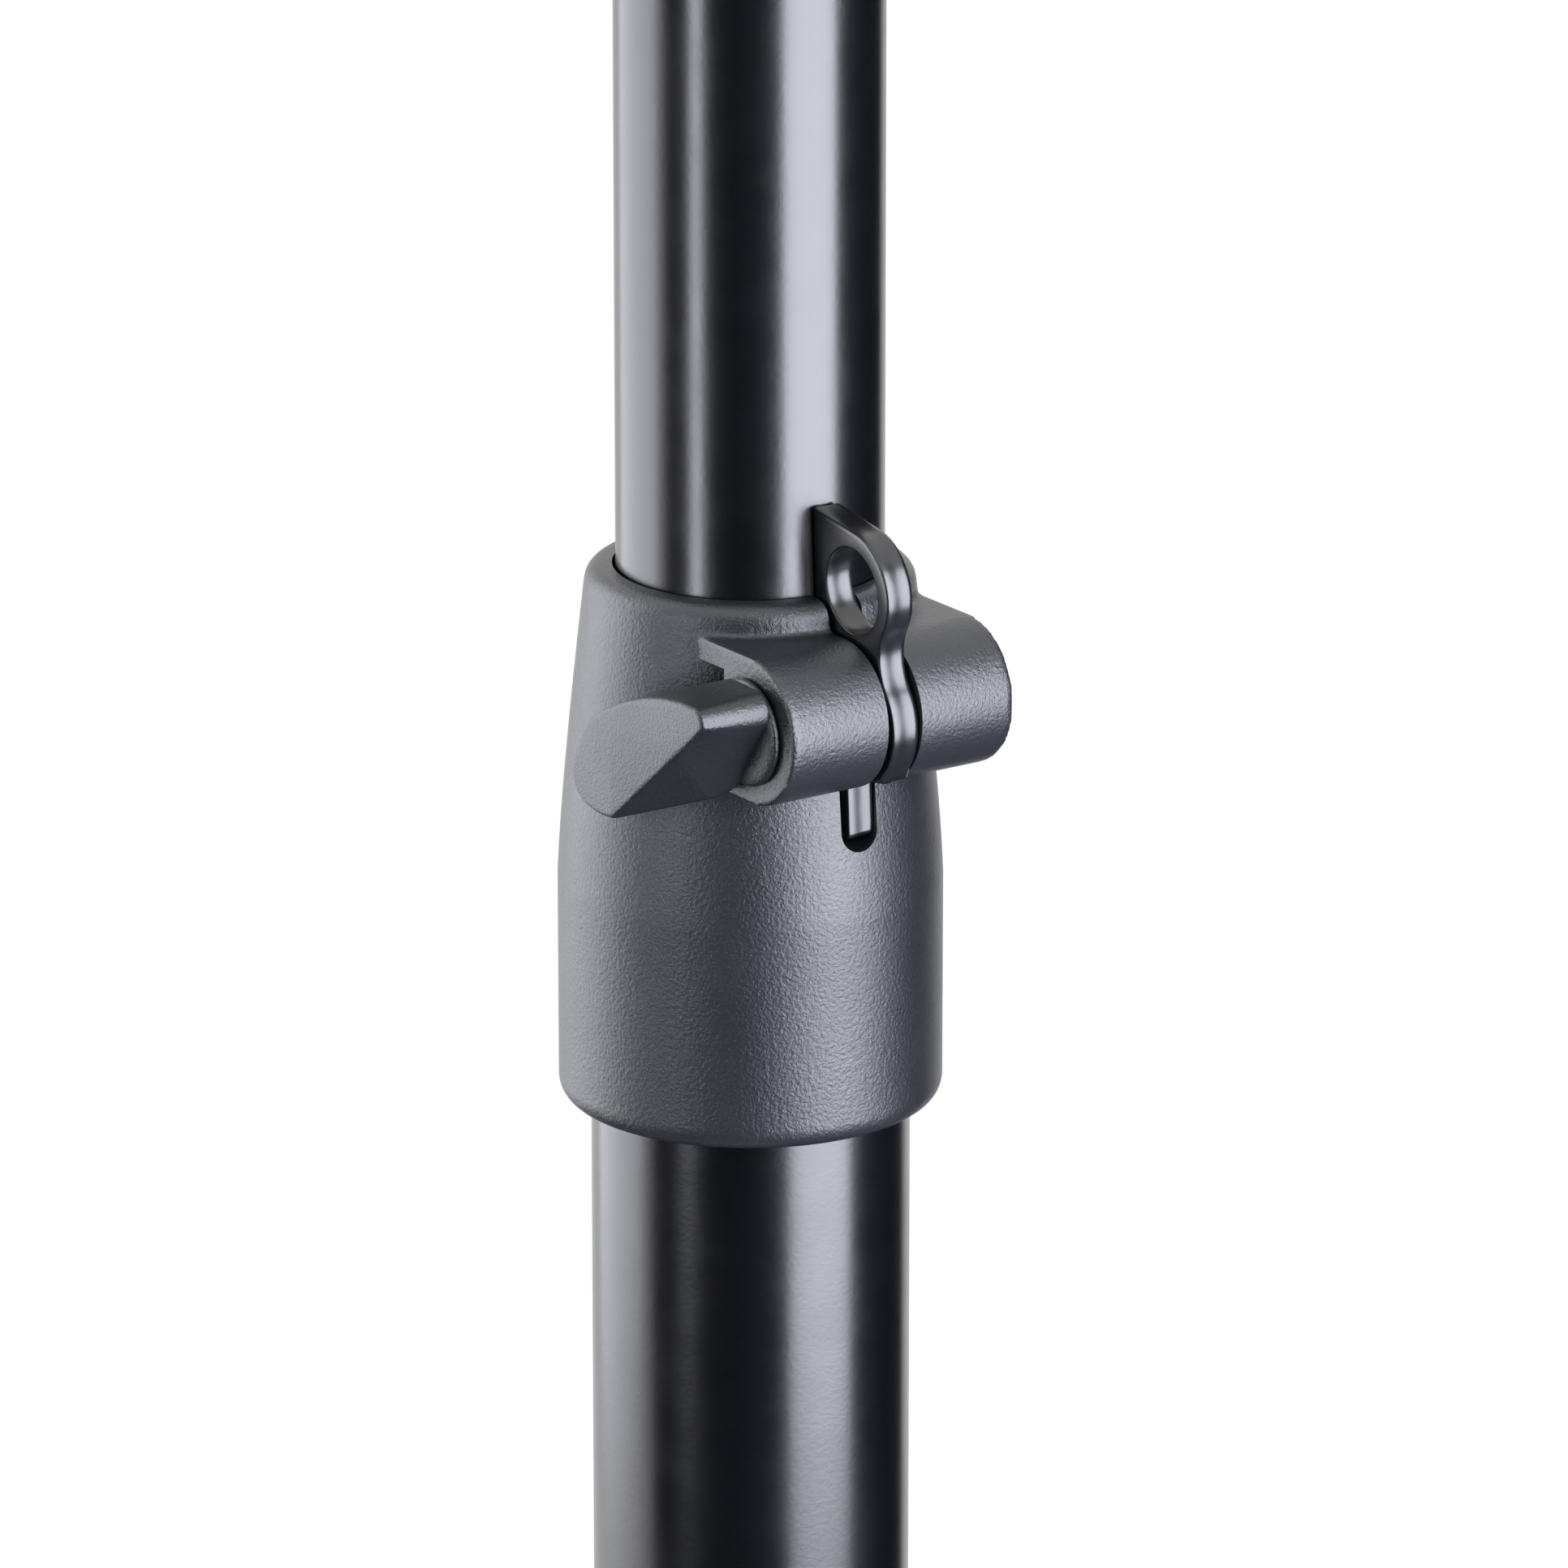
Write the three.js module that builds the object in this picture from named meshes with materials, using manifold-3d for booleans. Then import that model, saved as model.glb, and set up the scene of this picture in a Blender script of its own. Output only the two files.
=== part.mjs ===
// Telescopic speaker pole. An upper tube slides and turns in a lower tube, and a slit collar clamps it.
// Millimetres, with +Z up along the pole. The origin is the middle of the seat under the foot of the pole.
// The slit and the eyelet look towards -Y, and the clamp knob stands out to -X.

import * as THREE from "three";
import { ConvexGeometry } from "three/addons/geometries/ConvexGeometry.js";
import { mergeVertices } from "three/addons/utils/BufferGeometryUtils.js";
import Module from "manifold-3d";

// Fits and steps
const fit = 0.3; // gap between pieces that touch, slide or turn
const cutOverrun = 4; // how far a cut runs past what it cuts
const weldDistance = 0.0005;
const roundSteps = 64;
const smallSteps = 24;
const cornerSteps = 4;

// Tubes. The lower one is as wide as the upper one, the guide bush round it and its own wall make it.
const upperTubeDiameter = 35;
const upperTubeWall = 1.5;
const guideWall = 1.4;
const lowerTubeWall = 1.5;
const exposedLength = 130; // upper tube above the collar when the pole is closed

// Collar
const collarFootHeight = 560; // lower rim above the seat
const collarHeight = 72.7;
const collarWall = 3.95; // round the lower tube
const collarNeckWall = 2.3; // round the split bush
const collarRimRounding = 2.6;
const taperLength = 40; // from the straight wall to the shoulder
const kneeRiseShare = 0.3; // how far up the taper its knee lies
const kneeOutShare = 0.877; // how far out the taper's knee lies, from neck to wall
const collarShoulderRounding = 2.4;
const collarLipClearance = 0.45;
const collarLipDepth = 5.4;
const gripLength = 35.6; // from the top of the lower tube's socket to the collar's top
const slitWidth = 5.75;
const slitLength = 32.9;

// Ears that form the boss across the slit
const boltDrop = 13.7; // clamp screw axis below the collar's top
const boltFromTube = 7.5; // clamp screw axis in front of the upper tube
const bossDiameter = 19.6;
const bossLength = 34.5;
const bossEdge = 0.8;
const recessDiameter = 13;
const recessDepth = 5;
const hoodThickness = 2.9;
const underlipThickness = 2.5;
const notchSetback = 5.8; // front of the notch behind the recess, behind the clamp screw axis

// Clamp screw, nut and washer
const screwDiameter = 6;
const stemEndWall = 1.2; // solid end of the knob's stem behind the screw
const screwNutOverhang = 1.6; // how far the screw's tip stands out of the nut
const screwPoint = 0.6;
const nutAcrossFlats = 10;
const nutThickness = 5;
const nutPocketDepth = 6.6;
const washerDiameter = 12;
const washerThickness = 1.2;

// Knob, with the lever's reach as the size that its outlines follow
const leverReach = 26;
const stemDiameter = 10;
const knobInnerGap = 0.5; // between the left ear's end and the knob
const knobDepth = 11.2;
const knobFaceRounding = 0.9;
const knobFaceInsetShare = 0.95;
// Forward and upward shares of the lever's reach, for sections from the ear to the outer face
const knobSectionShares = [
  {
    depthShare: 0,
    outlineShares: [
      [0.17, 0.238], [0.2, 0.2], [0.179, 0.11], [-0.05, -0.23], [-0.12, -0.285], [-0.2, -0.25],
      [-0.27, -0.1], [-0.28, 0.06], [-0.24, 0.2], [-0.1, 0.262], [0.05, 0.268],
    ],
  },
  {
    depthShare: 0.13,
    outlineShares: [
      [0.172, 0.238], [0.2, 0.2], [0.182, 0.12], [-0.09, -0.31], [-0.14, -0.346], [-0.26, -0.3],
      [-0.34, -0.1], [-0.33, 0.1], [-0.27, 0.21], [-0.1, 0.262],
    ],
  },
  {
    depthShare: 0.35,
    outlineShares: [
      [0.174, 0.236], [0.2, 0.2], [0.186, 0.135], [-0.17, -0.365], [-0.22, -0.396], [-0.38, -0.38],
      [-0.5, -0.27], [-0.5, -0.06], [-0.4, 0.08], [-0.25, 0.19], [-0.1, 0.24],
    ],
  },
];
const knobLeafShares = [
  [0.177, 0.219], [0.198, 0.2], [0.2, 0.17], [0.192, 0.15], [-0.6, -0.5], [-0.66, -0.522], [-0.74, -0.527],
  [-0.82, -0.508], [-0.885, -0.462], [-0.918, -0.39], [-0.915, -0.3], [-0.88, -0.2], [-0.792, -0.095],
  [-0.7, -0.018], [-0.604, 0.05], [-0.48, 0.116], [-0.354, 0.164], [-0.23, 0.2], [-0.1, 0.222], [0.04, 0.23],
];

// Eyelet plate
const eyeletThickness = 4.3;
const eyeletOffset = 0.35; // the plate lies a little towards the right ear
const eyeletEdge = 0.8;
const eyeRise = 16.3; // middle of the eye above the clamp screw axis
const eyeFromTube = 7.7; // middle of the eye in front of the upper tube
const eyeDiameter = 11.5;
const eyeRingDiameter = 17.4;
const screwRingDiameter = 21.2;
const waistRadius = 3.5;
const eyeletBackRise = 9.3; // the plate's back corner above the middle of the eye
const eyeletFootAngle = 39; // degrees below level at which the lower ring is cut off
const eyeletFootChamfer = 2.4;
const tailRecess = 0.35; // tail behind the collar's surface
const tailGap = 1.6; // between the tail and the slit's lower end

// Split bush in the collar
const linerWall = 1.2;
const linerFlangeThickness = 2.2;
const linerTopGap = 0.3;

// Screws that hold the collar on the lower tube, at the back
const collarScrewHeight = 17; // above the collar's lower rim
const straightBack = 90; // degrees from +X
const collarScrewTurn = 35; // degrees to each side of straight back
const collarScrewDiameter = 3.8;
const collarScrewHeadDiameter = 6.8;
const collarScrewHeadHeight = 1.6;
const collarScrewDriveWidth = 3.2;
const collarScrewDriveDepth = 0.9;

// Foot of the pole: plug, stud, lock nut, washer and rivets
const seatThickness = 2;
const plugFlangeThickness = 4;
const plugInsertLength = 34;
const plugEdge = 0.6;
const studDiameter = 20;
const studDrop = 22; // threaded length below the seat
const studPoint = 1.5;
const lockNutAcrossFlats = 30;
const lockNutThickness = 10;
const lockNutStandOut = 1.3; // how far the lock nut stands above the stud's upper end
const baseRivetHeight = 24;
const baseRivetDiameter = 4;
const baseRivetHeadDiameter = 7;
const baseRivetHeadHeight = 1.3;
const baseRivetLength = 8;

// Lower end of the upper tube: end plug, guide bush, stop ring and pins
const landingGap = 0.5; // end plug above the lock nut when the pole is closed
const endFlangeThickness = 4;
const endFlangeClearance = 0.7;
const endInsertLength = 22;
const endPlugWall = 6.2;
const endPinHeight = 12; // above the end flange
const guideLength = 60;
const guideGrooveCount = 4;
const guideGrooveWidth = 4;
const guideGrooveDepth = 0.5;
const stopRingHeight = 6;
const stopRingClearance = 0.5;
const pinDiameter = 3;
const pinLength = 4;

// Cap in the upper tube
const capThickness = 3;
const capInsertLength = 15;
const capWall = 2;
const capEdge = 1;

// Sizes that follow from the ones above
const upperTubeRadius = upperTubeDiameter / 2;
const upperBoreRadius = upperTubeRadius - upperTubeWall;
const lowerBoreRadius = upperTubeRadius + fit + guideWall + fit;
const lowerTubeRadius = lowerBoreRadius + lowerTubeWall;
const linerInnerRadius = upperTubeRadius + fit;
const linerOuterRadius = linerInnerRadius + linerWall;
const linerBoreRadius = linerOuterRadius + fit;
const linerFlangeRadius = lowerTubeRadius;
const tubeSocketRadius = lowerTubeRadius + fit;
const collarRadius = tubeSocketRadius + collarWall;
const collarNeckRadius = linerBoreRadius + collarNeckWall;
const collarKneeRadius = collarNeckRadius + kneeOutShare * (collarRadius - collarNeckRadius);
const boltReach = upperTubeRadius + boltFromTube;
const eyeReach = upperTubeRadius + eyeFromTube;
const bossRadius = bossDiameter / 2;
const bossEnd = bossLength / 2;
const collarTop = collarFootHeight + collarHeight;
// Heights above the collar's lower rim
const collarTaperStart = collarHeight - collarShoulderRounding - taperLength;
const collarKneeHeight = collarTaperStart + kneeRiseShare * taperLength;
const tubeSocketDepth = collarHeight - gripLength;
const tubeInsertion = tubeSocketDepth - fit - linerFlangeThickness - fit;
const slitFootHeight = collarHeight - slitLength;
const boltHeight = collarHeight - boltDrop;
const eyeHeight = boltHeight + eyeRise;
const eyeletTop = eyeHeight + eyeletBackRise;
const tailFoot = slitFootHeight + tailGap;
// Heights above the seat
const boltZ = collarFootHeight + boltHeight;
const plugFlangeFoot = seatThickness + fit;
const plugFlangeTop = plugFlangeFoot + plugFlangeThickness;
const lowerTubeFoot = plugFlangeTop + fit;
const lowerTubeTop = collarFootHeight + tubeInsertion;
const plugTop = plugFlangeTop + plugInsertLength;
const lockNutFoot = plugTop + fit;
const lockNutTop = lockNutFoot + lockNutThickness;
const studTop = lockNutTop - lockNutStandOut;
const endFlangeFoot = lockNutTop + landingGap;
const endFlangeTop = endFlangeFoot + endFlangeThickness;
const upperTubeFoot = endFlangeTop + fit;
const upperTubeTop = collarTop + exposedLength;
const guideFoot = endFlangeTop + fit;
const guideTop = guideFoot + guideLength;
const stopRingFoot = guideTop + fit;
const stopRingTop = stopRingFoot + stopRingHeight;
const recessFloor = -bossEnd + recessDepth;

const plasticBlack = new THREE.MeshStandardMaterial({ color: 0x1b1c1e, roughness: 0.5, metalness: 0 });
const collarGrey = new THREE.MeshStandardMaterial({ color: 0x43464b, roughness: 0.6, metalness: 0 });
const knobGrey = new THREE.MeshStandardMaterial({ color: 0x47494e, roughness: 0.6, metalness: 0 });
const tubeBlack = new THREE.MeshStandardMaterial({ color: 0x15161a, roughness: 0.35, metalness: 0.1 });
const eyeletBlack = new THREE.MeshStandardMaterial({ color: 0x111216, roughness: 0.15, metalness: 0 });
const zincSteel = new THREE.MeshStandardMaterial({ color: 0xb4b7bb, roughness: 0.35, metalness: 1 });
const plugAluminium = new THREE.MeshStandardMaterial({ color: 0xa9abae, roughness: 0.4, metalness: 1 });
const linerNylon = new THREE.MeshStandardMaterial({ color: 0xd8d5c8, roughness: 0.5, metalness: 0 });
const washerRubber = new THREE.MeshStandardMaterial({ color: 0x202020, roughness: 0.9, metalness: 0 });

const wasm = await Module();
wasm.setup();

// A closed geometry as a solid with its faces pointing out.
function solid(geometry) {
  const bare = new THREE.BufferGeometry();
  const source = geometry.index ? geometry.toNonIndexed() : geometry;
  bare.setAttribute("position", source.getAttribute("position"));
  const merged = mergeVertices(bare, weldDistance);
  const vertProperties = merged.attributes.position.array;
  const corners = Array.from(merged.index.array);
  const made = new wasm.Manifold(new wasm.Mesh({ numProp: 3, vertProperties, triVerts: new Uint32Array(corners) }));
  if (made.volume() > 0) return made;
  const turnedRound = new Uint32Array(corners.reverse());
  return new wasm.Manifold(new wasm.Mesh({ numProp: 3, vertProperties, triVerts: turnedRound }));
}

// A solid as a named mesh.
function piece(name, shape, material) {
  const shell = shape.getMesh();
  const geometry = new THREE.BufferGeometry();
  geometry.setAttribute("position", new THREE.BufferAttribute(new Float32Array(shell.vertProperties), 3));
  geometry.setIndex(new THREE.BufferAttribute(new Uint32Array(shell.triVerts), 1));
  geometry.computeVertexNormals();
  const mesh = new THREE.Mesh(geometry, material);
  mesh.name = name;
  return mesh;
}

// A profile of [radius, height] points turned about the pole axis.
function turned(points, steps = roundSteps) {
  const profile = points.map(([radius, height]) => new THREE.Vector2(radius, height));
  const geometry = new THREE.LatheGeometry(profile, steps);
  geometry.rotateX(Math.PI / 2);
  return geometry;
}

// A plain ring round the pole axis.
function ring(inner, outer, low, high, steps = roundSteps) {
  return turned([[inner, low], [outer, low], [outer, high], [inner, high], [inner, low]], steps);
}

// A round bar along the pole axis, with both end edges cut off by a bevel.
function upright(radius, low, high, bevel, steps = roundSteps) {
  return turned(
    [[0, low], [radius - bevel, low], [radius, low + bevel], [radius, high - bevel], [radius - bevel, high], [0, high]],
    steps,
  );
}

// Turns a geometry made along +Z so that it lies along +X, with its own X across and its own Y upwards.
function layAcross(geometry) {
  const across = new THREE.Vector3(0, 1, 0);
  const upwards = new THREE.Vector3(0, 0, 1);
  const along = new THREE.Vector3(1, 0, 0);
  return geometry.applyMatrix4(new THREE.Matrix4().makeBasis(across, upwards, along));
}

// A shape drawn in Y and Z, run from one X to another, with its edges rounded by a bevel inside the outline.
function acrossSlit(shape, from, to, bevel = 0) {
  const geometry = new THREE.ExtrudeGeometry(shape, {
    depth: to - from - 2 * bevel,
    curveSegments: smallSteps,
    bevelEnabled: bevel > 0,
    bevelThickness: bevel,
    bevelSize: bevel,
    bevelOffset: -bevel,
    bevelSegments: 2,
  });
  geometry.translate(0, 0, from + bevel);
  return layAcross(geometry);
}

// A round bar along X through the given Y and Z.
function barAlongX(radius, from, to, y, z, steps = smallSteps * 2) {
  const geometry = new THREE.CylinderGeometry(radius, radius, to - from, steps);
  geometry.rotateZ(Math.PI / 2);
  return geometry.translate((from + to) / 2, y, z);
}

// A hexagonal bar along X, with two corners up and down.
function hexAlongX(acrossFlats, from, to, y, z) {
  return barAlongX(acrossFlats / 2 / Math.cos(Math.PI / 6), from, to, y, z, 6);
}

// A block between two corners.
function block(low, high) {
  const size = new THREE.Vector3().subVectors(high, low);
  const middle = new THREE.Vector3().addVectors(low, high).multiplyScalar(1 / 2);
  return new THREE.BoxGeometry(size.x, size.y, size.z).translate(middle.x, middle.y, middle.z);
}

// Turns a geometry made along +X round the pole axis, to a direction in degrees from +X.
function atTurn(geometry, degrees) {
  return geometry.rotateZ(THREE.MathUtils.degToRad(degrees));
}

// The collar's outside: rounded lower rim, straight wall, tapered neck and rounded shoulder.
function collarOutside() {
  const radius = collarRadius;
  const shoulder = collarNeckRadius;
  const shoulderHeight = collarHeight - collarShoulderRounding;
  const neck = new THREE.QuadraticBezierCurve(
    new THREE.Vector2(radius, collarTaperStart),
    new THREE.Vector2(collarKneeRadius, collarKneeHeight),
    new THREE.Vector2(shoulder, shoulderHeight),
  );
  const points = [[0, 0]];
  for (let i = 0; i <= cornerSteps; i++) {
    const angle = (i / cornerSteps - 1) * (Math.PI / 2);
    points.push([
      radius - collarRimRounding * (1 - Math.cos(angle)),
      collarRimRounding * (1 + Math.sin(angle)),
    ]);
  }
  for (const point of neck.getPoints(smallSteps / 3)) points.push([point.x, point.y]);
  for (let i = 1; i <= cornerSteps; i++) {
    const angle = (i / cornerSteps) * (Math.PI / 2);
    points.push([
      shoulder - collarShoulderRounding * (1 - Math.cos(angle)),
      shoulderHeight + collarShoulderRounding * Math.sin(angle),
    ]);
  }
  points.push([0, collarHeight]);
  return solid(turned(points).translate(0, 0, collarFootHeight));
}

// Radius of the collar's outside at a height above its lower rim, on the tapered neck.
function neckRadius(height) {
  const low = collarTaperStart;
  const high = collarHeight - collarShoulderRounding;
  const knee = collarKneeHeight;
  const bend = low - 2 * knee + high;
  const t = (height - low) / (knee - low + Math.sqrt((knee - low) ** 2 + bend * (height - low)));
  return (1 - t) ** 2 * collarRadius + 2 * t * (1 - t) * collarKneeRadius + t ** 2 * collarNeckRadius;
}

// Both ears as one block: a round boss in front, with level top and bottom running back into the collar.
function earBlock() {
  const wallMiddle = (linerBoreRadius + neckRadius(boltHeight)) / 2;
  const earRoot = Math.sqrt(wallMiddle ** 2 - bossEnd ** 2);
  const side = new THREE.Shape();
  side.moveTo(-earRoot, boltZ - bossRadius);
  side.lineTo(-boltReach, boltZ - bossRadius);
  side.absarc(-boltReach, boltZ, bossRadius, -Math.PI / 2, Math.PI / 2, true);
  side.lineTo(-earRoot, boltZ + bossRadius);
  side.closePath();
  const ears = solid(acrossSlit(side, -bossEnd, bossEnd, bossEdge));
  const notch = block(
    new THREE.Vector3(-bossEnd - cutOverrun, notchSetback - boltReach, boltZ - bossRadius + underlipThickness),
    new THREE.Vector3(recessFloor, 0, boltZ + bossRadius - hoodThickness),
  );
  return ears.subtract(solid(notch));
}

// The hollow inside the collar: socket for the lower tube, seat for the split bush and lip round the upper tube.
function collarBores() {
  const lip = upperTubeRadius + collarLipClearance;
  const linerTop = collarTop - collarLipDepth;
  const socketTop = collarFootHeight + tubeSocketDepth;
  return solid(
    turned([
      [0, collarFootHeight - cutOverrun],
      [tubeSocketRadius, collarFootHeight - cutOverrun],
      [tubeSocketRadius, socketTop],
      [linerBoreRadius, socketTop],
      [linerBoreRadius, linerTop],
      [lip, linerTop],
      [lip, collarTop + cutOverrun],
      [0, collarTop + cutOverrun],
    ]),
  );
}

// The slit in the front of the collar, with a round lower end.
function slit() {
  const half = slitWidth / 2;
  const low = collarFootHeight + slitFootHeight + half;
  const front = -boltReach - bossRadius - cutOverrun;
  const straight = block(
    new THREE.Vector3(-half, front, low),
    new THREE.Vector3(half, 0, collarTop + cutOverrun),
  );
  const roundEnd = new THREE.CylinderGeometry(half, half, -front, smallSteps);
  roundEnd.translate(0, front / 2, low);
  return solid(straight).add(solid(roundEnd));
}

// Hole and pocket of one collar screw, made along +X from the pole axis.
function collarScrewHole(degrees) {
  const z = collarFootHeight + collarScrewHeight;
  const headSeat = collarRadius - collarScrewHeadHeight - fit;
  const outside = collarRadius + cutOverrun;
  const shank = barAlongX(collarScrewDiameter / 2 + fit, 0, outside, 0, z, smallSteps);
  const pocket = barAlongX(collarScrewHeadDiameter / 2 + fit, headSeat - fit, outside, 0, z, smallSteps);
  return solid(atTurn(shank, degrees)).add(solid(atTurn(pocket, degrees)));
}

const collarScrewTurns = { left: straightBack + collarScrewTurn, right: straightBack - collarScrewTurn };

function clampCollar() {
  let collar = collarOutside().add(earBlock());
  collar = collar.subtract(collarBores()).subtract(slit());
  const recess = barAlongX(recessDiameter / 2, -bossEnd - cutOverrun, recessFloor, -boltReach, boltZ);
  const screwHole = barAlongX(screwDiameter / 2 + fit, -bossEnd, bossEnd, -boltReach, boltZ);
  const pocket = hexAlongX(
    nutAcrossFlats + 2 * fit,
    bossEnd - nutPocketDepth,
    bossEnd + cutOverrun,
    -boltReach,
    boltZ,
  );
  for (const tool of [recess, screwHole, pocket]) collar = collar.subtract(solid(tool));
  for (const degrees of Object.values(collarScrewTurns)) collar = collar.subtract(collarScrewHole(degrees));
  return piece("clamp_collar", collar, collarGrey);
}

// Split bush: its flange rests on the lower tube's end, and its split lines up with the collar's slit.
function clampLiner() {
  const flangeFoot = lowerTubeTop + fit;
  const flangeTop = flangeFoot + linerFlangeThickness;
  const top = collarTop - collarLipDepth - linerTopGap;
  const bush = solid(
    turned([
      [linerInnerRadius, flangeFoot],
      [linerFlangeRadius, flangeFoot],
      [linerFlangeRadius, flangeTop],
      [linerOuterRadius, flangeTop],
      [linerOuterRadius, top],
      [linerInnerRadius, top],
      [linerInnerRadius, flangeFoot],
    ]),
  );
  const split = block(
    new THREE.Vector3(-slitWidth / 2, -2 * lowerTubeRadius, flangeFoot - cutOverrun),
    new THREE.Vector3(slitWidth / 2, 0, top + cutOverrun),
  );
  return piece("clamp_liner", bush.subtract(solid(split)), linerNylon);
}

// The side view of the eyelet plate: eye ring above, screw ring below, tail in the slot, straight back.
function eyeletOutline() {
  const back = -(upperTubeRadius + fit);
  const eye = new THREE.Vector2(-eyeReach, collarFootHeight + eyeHeight);
  const screw = new THREE.Vector2(-boltReach, boltZ);
  const eyeRadius = eyeRingDiameter / 2;
  const screwRadius = screwRingDiameter / 2;
  const apart = eye.distanceTo(screw);
  const toEye = eyeRadius + waistRadius;
  const toScrew = screwRadius + waistRadius;
  const along = (toEye ** 2 - toScrew ** 2 + apart ** 2) / (2 * apart);
  const aside = Math.sqrt(toEye ** 2 - along ** 2);
  const down = new THREE.Vector2().subVectors(screw, eye).divideScalar(apart);
  const waist = new THREE.Vector2(eye.x + down.x * along + down.y * aside, eye.y + down.y * along - down.x * aside);
  const eyeEnd = Math.atan2(waist.y - eye.y, waist.x - eye.x);
  const screwStart = Math.atan2(waist.y - screw.y, waist.x - screw.x);
  const footAngle = THREE.MathUtils.degToRad(180 + eyeletFootAngle);
  const corner = new THREE.Vector2(
    screw.x + screwRadius * Math.cos(footAngle),
    screw.y + screwRadius * Math.sin(footAngle),
  );
  const chamferAngle = footAngle + Math.PI / 2;
  const foot = boltZ - bossRadius + fit;
  const tailFront = -(neckRadius(slitFootHeight + slitWidth) - tailRecess);
  const tailEnd = collarFootHeight + tailFoot;
  const outline = new THREE.Shape();
  outline.moveTo(back, tailEnd);
  outline.lineTo(back, collarFootHeight + eyeletTop);
  outline.absarc(eye.x, eye.y, eyeRadius, Math.PI / 2, eyeEnd + 2 * Math.PI, false);
  outline.absarc(waist.x, waist.y, waistRadius, eyeEnd + Math.PI, screwStart - Math.PI, true);
  outline.absarc(screw.x, screw.y, screwRadius, screwStart, footAngle, false);
  outline.lineTo(
    corner.x + eyeletFootChamfer * Math.cos(chamferAngle),
    corner.y + eyeletFootChamfer * Math.sin(chamferAngle),
  );
  outline.lineTo(tailFront, foot);
  outline.lineTo(tailFront, tailEnd);
  outline.closePath();
  const eyeHole = new THREE.Path();
  eyeHole.absarc(eye.x, eye.y, eyeDiameter / 2, 0, 2 * Math.PI, true);
  const screwHole = new THREE.Path();
  screwHole.absarc(screw.x, screw.y, screwDiameter / 2 + fit, 0, 2 * Math.PI, true);
  outline.holes.push(eyeHole, screwHole);
  return outline;
}

function safetyEyelet() {
  const left = eyeletOffset - eyeletThickness / 2;
  const right = eyeletOffset + eyeletThickness / 2;
  return piece("safety_eyelet", solid(acrossSlit(eyeletOutline(), left, right, eyeletEdge)), eyeletBlack);
}

const knobInner = -bossEnd - knobInnerGap;
const knobOuter = knobInner - knobDepth;
const washerOuter = recessFloor - fit - washerThickness;
const stemRoot = knobInner - fit;

// One outline of the knob, shares of the lever's reach placed at an X.
function knobPoints(shares, x, scale = 1) {
  const middle = new THREE.Vector2();
  for (const [forward, up] of shares) middle.add(new THREE.Vector2(forward, up).divideScalar(shares.length));
  return shares.map(([forward, up]) => {
    const f = leverReach * (middle.x + (forward - middle.x) * scale);
    const u = leverReach * (middle.y + (up - middle.y) * scale);
    return new THREE.Vector3(x, -boltReach - f, boltZ + u);
  });
}

// Wing knob: a leaf-shaped outer face that draws in towards the ear, and a round stem in the ear's recess.
function clampKnob() {
  const points = [];
  for (const { depthShare, outlineShares } of knobSectionShares)
    points.push(...knobPoints(outlineShares, knobInner - depthShare * knobDepth));
  points.push(...knobPoints(knobLeafShares, knobOuter + knobFaceRounding));
  points.push(...knobPoints(knobLeafShares, knobOuter, knobFaceInsetShare));
  const wing = solid(new ConvexGeometry(points));
  const stem = barAlongX(stemDiameter / 2, stemRoot, washerOuter - fit, -boltReach, boltZ);
  const bore = barAlongX(
    screwDiameter / 2 + fit,
    stemRoot + stemEndWall,
    washerOuter + cutOverrun,
    -boltReach,
    boltZ,
    smallSteps,
  );
  return piece("clamp_knob", wing.add(solid(stem)).subtract(solid(bore)), knobGrey);
}

// Screw from the knob's stem through both ears and the eyelet into the nut.
function clampScrew() {
  const head = stemRoot + stemEndWall + fit;
  const tip = bossEnd - nutPocketDepth + fit + nutThickness + screwNutOverhang;
  const shank = upright(screwDiameter / 2, head, tip, screwPoint, smallSteps);
  return piece("clamp_screw", solid(layAcross(shank).translate(0, -boltReach, boltZ)), zincSteel);
}

function clampWasher() {
  const disc = ring(screwDiameter / 2 + fit, washerDiameter / 2, washerOuter, washerOuter + washerThickness);
  return piece("clamp_washer", solid(layAcross(disc).translate(0, -boltReach, boltZ)), zincSteel);
}

function clampNut() {
  const from = bossEnd - nutPocketDepth + fit;
  const hex = hexAlongX(nutAcrossFlats, from, from + nutThickness, -boltReach, boltZ);
  const bore = barAlongX(screwDiameter / 2 + fit, from - cutOverrun, bossEnd + cutOverrun, -boltReach, boltZ, smallSteps);
  return piece("clamp_nut", solid(hex).subtract(solid(bore)), zincSteel);
}

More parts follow.
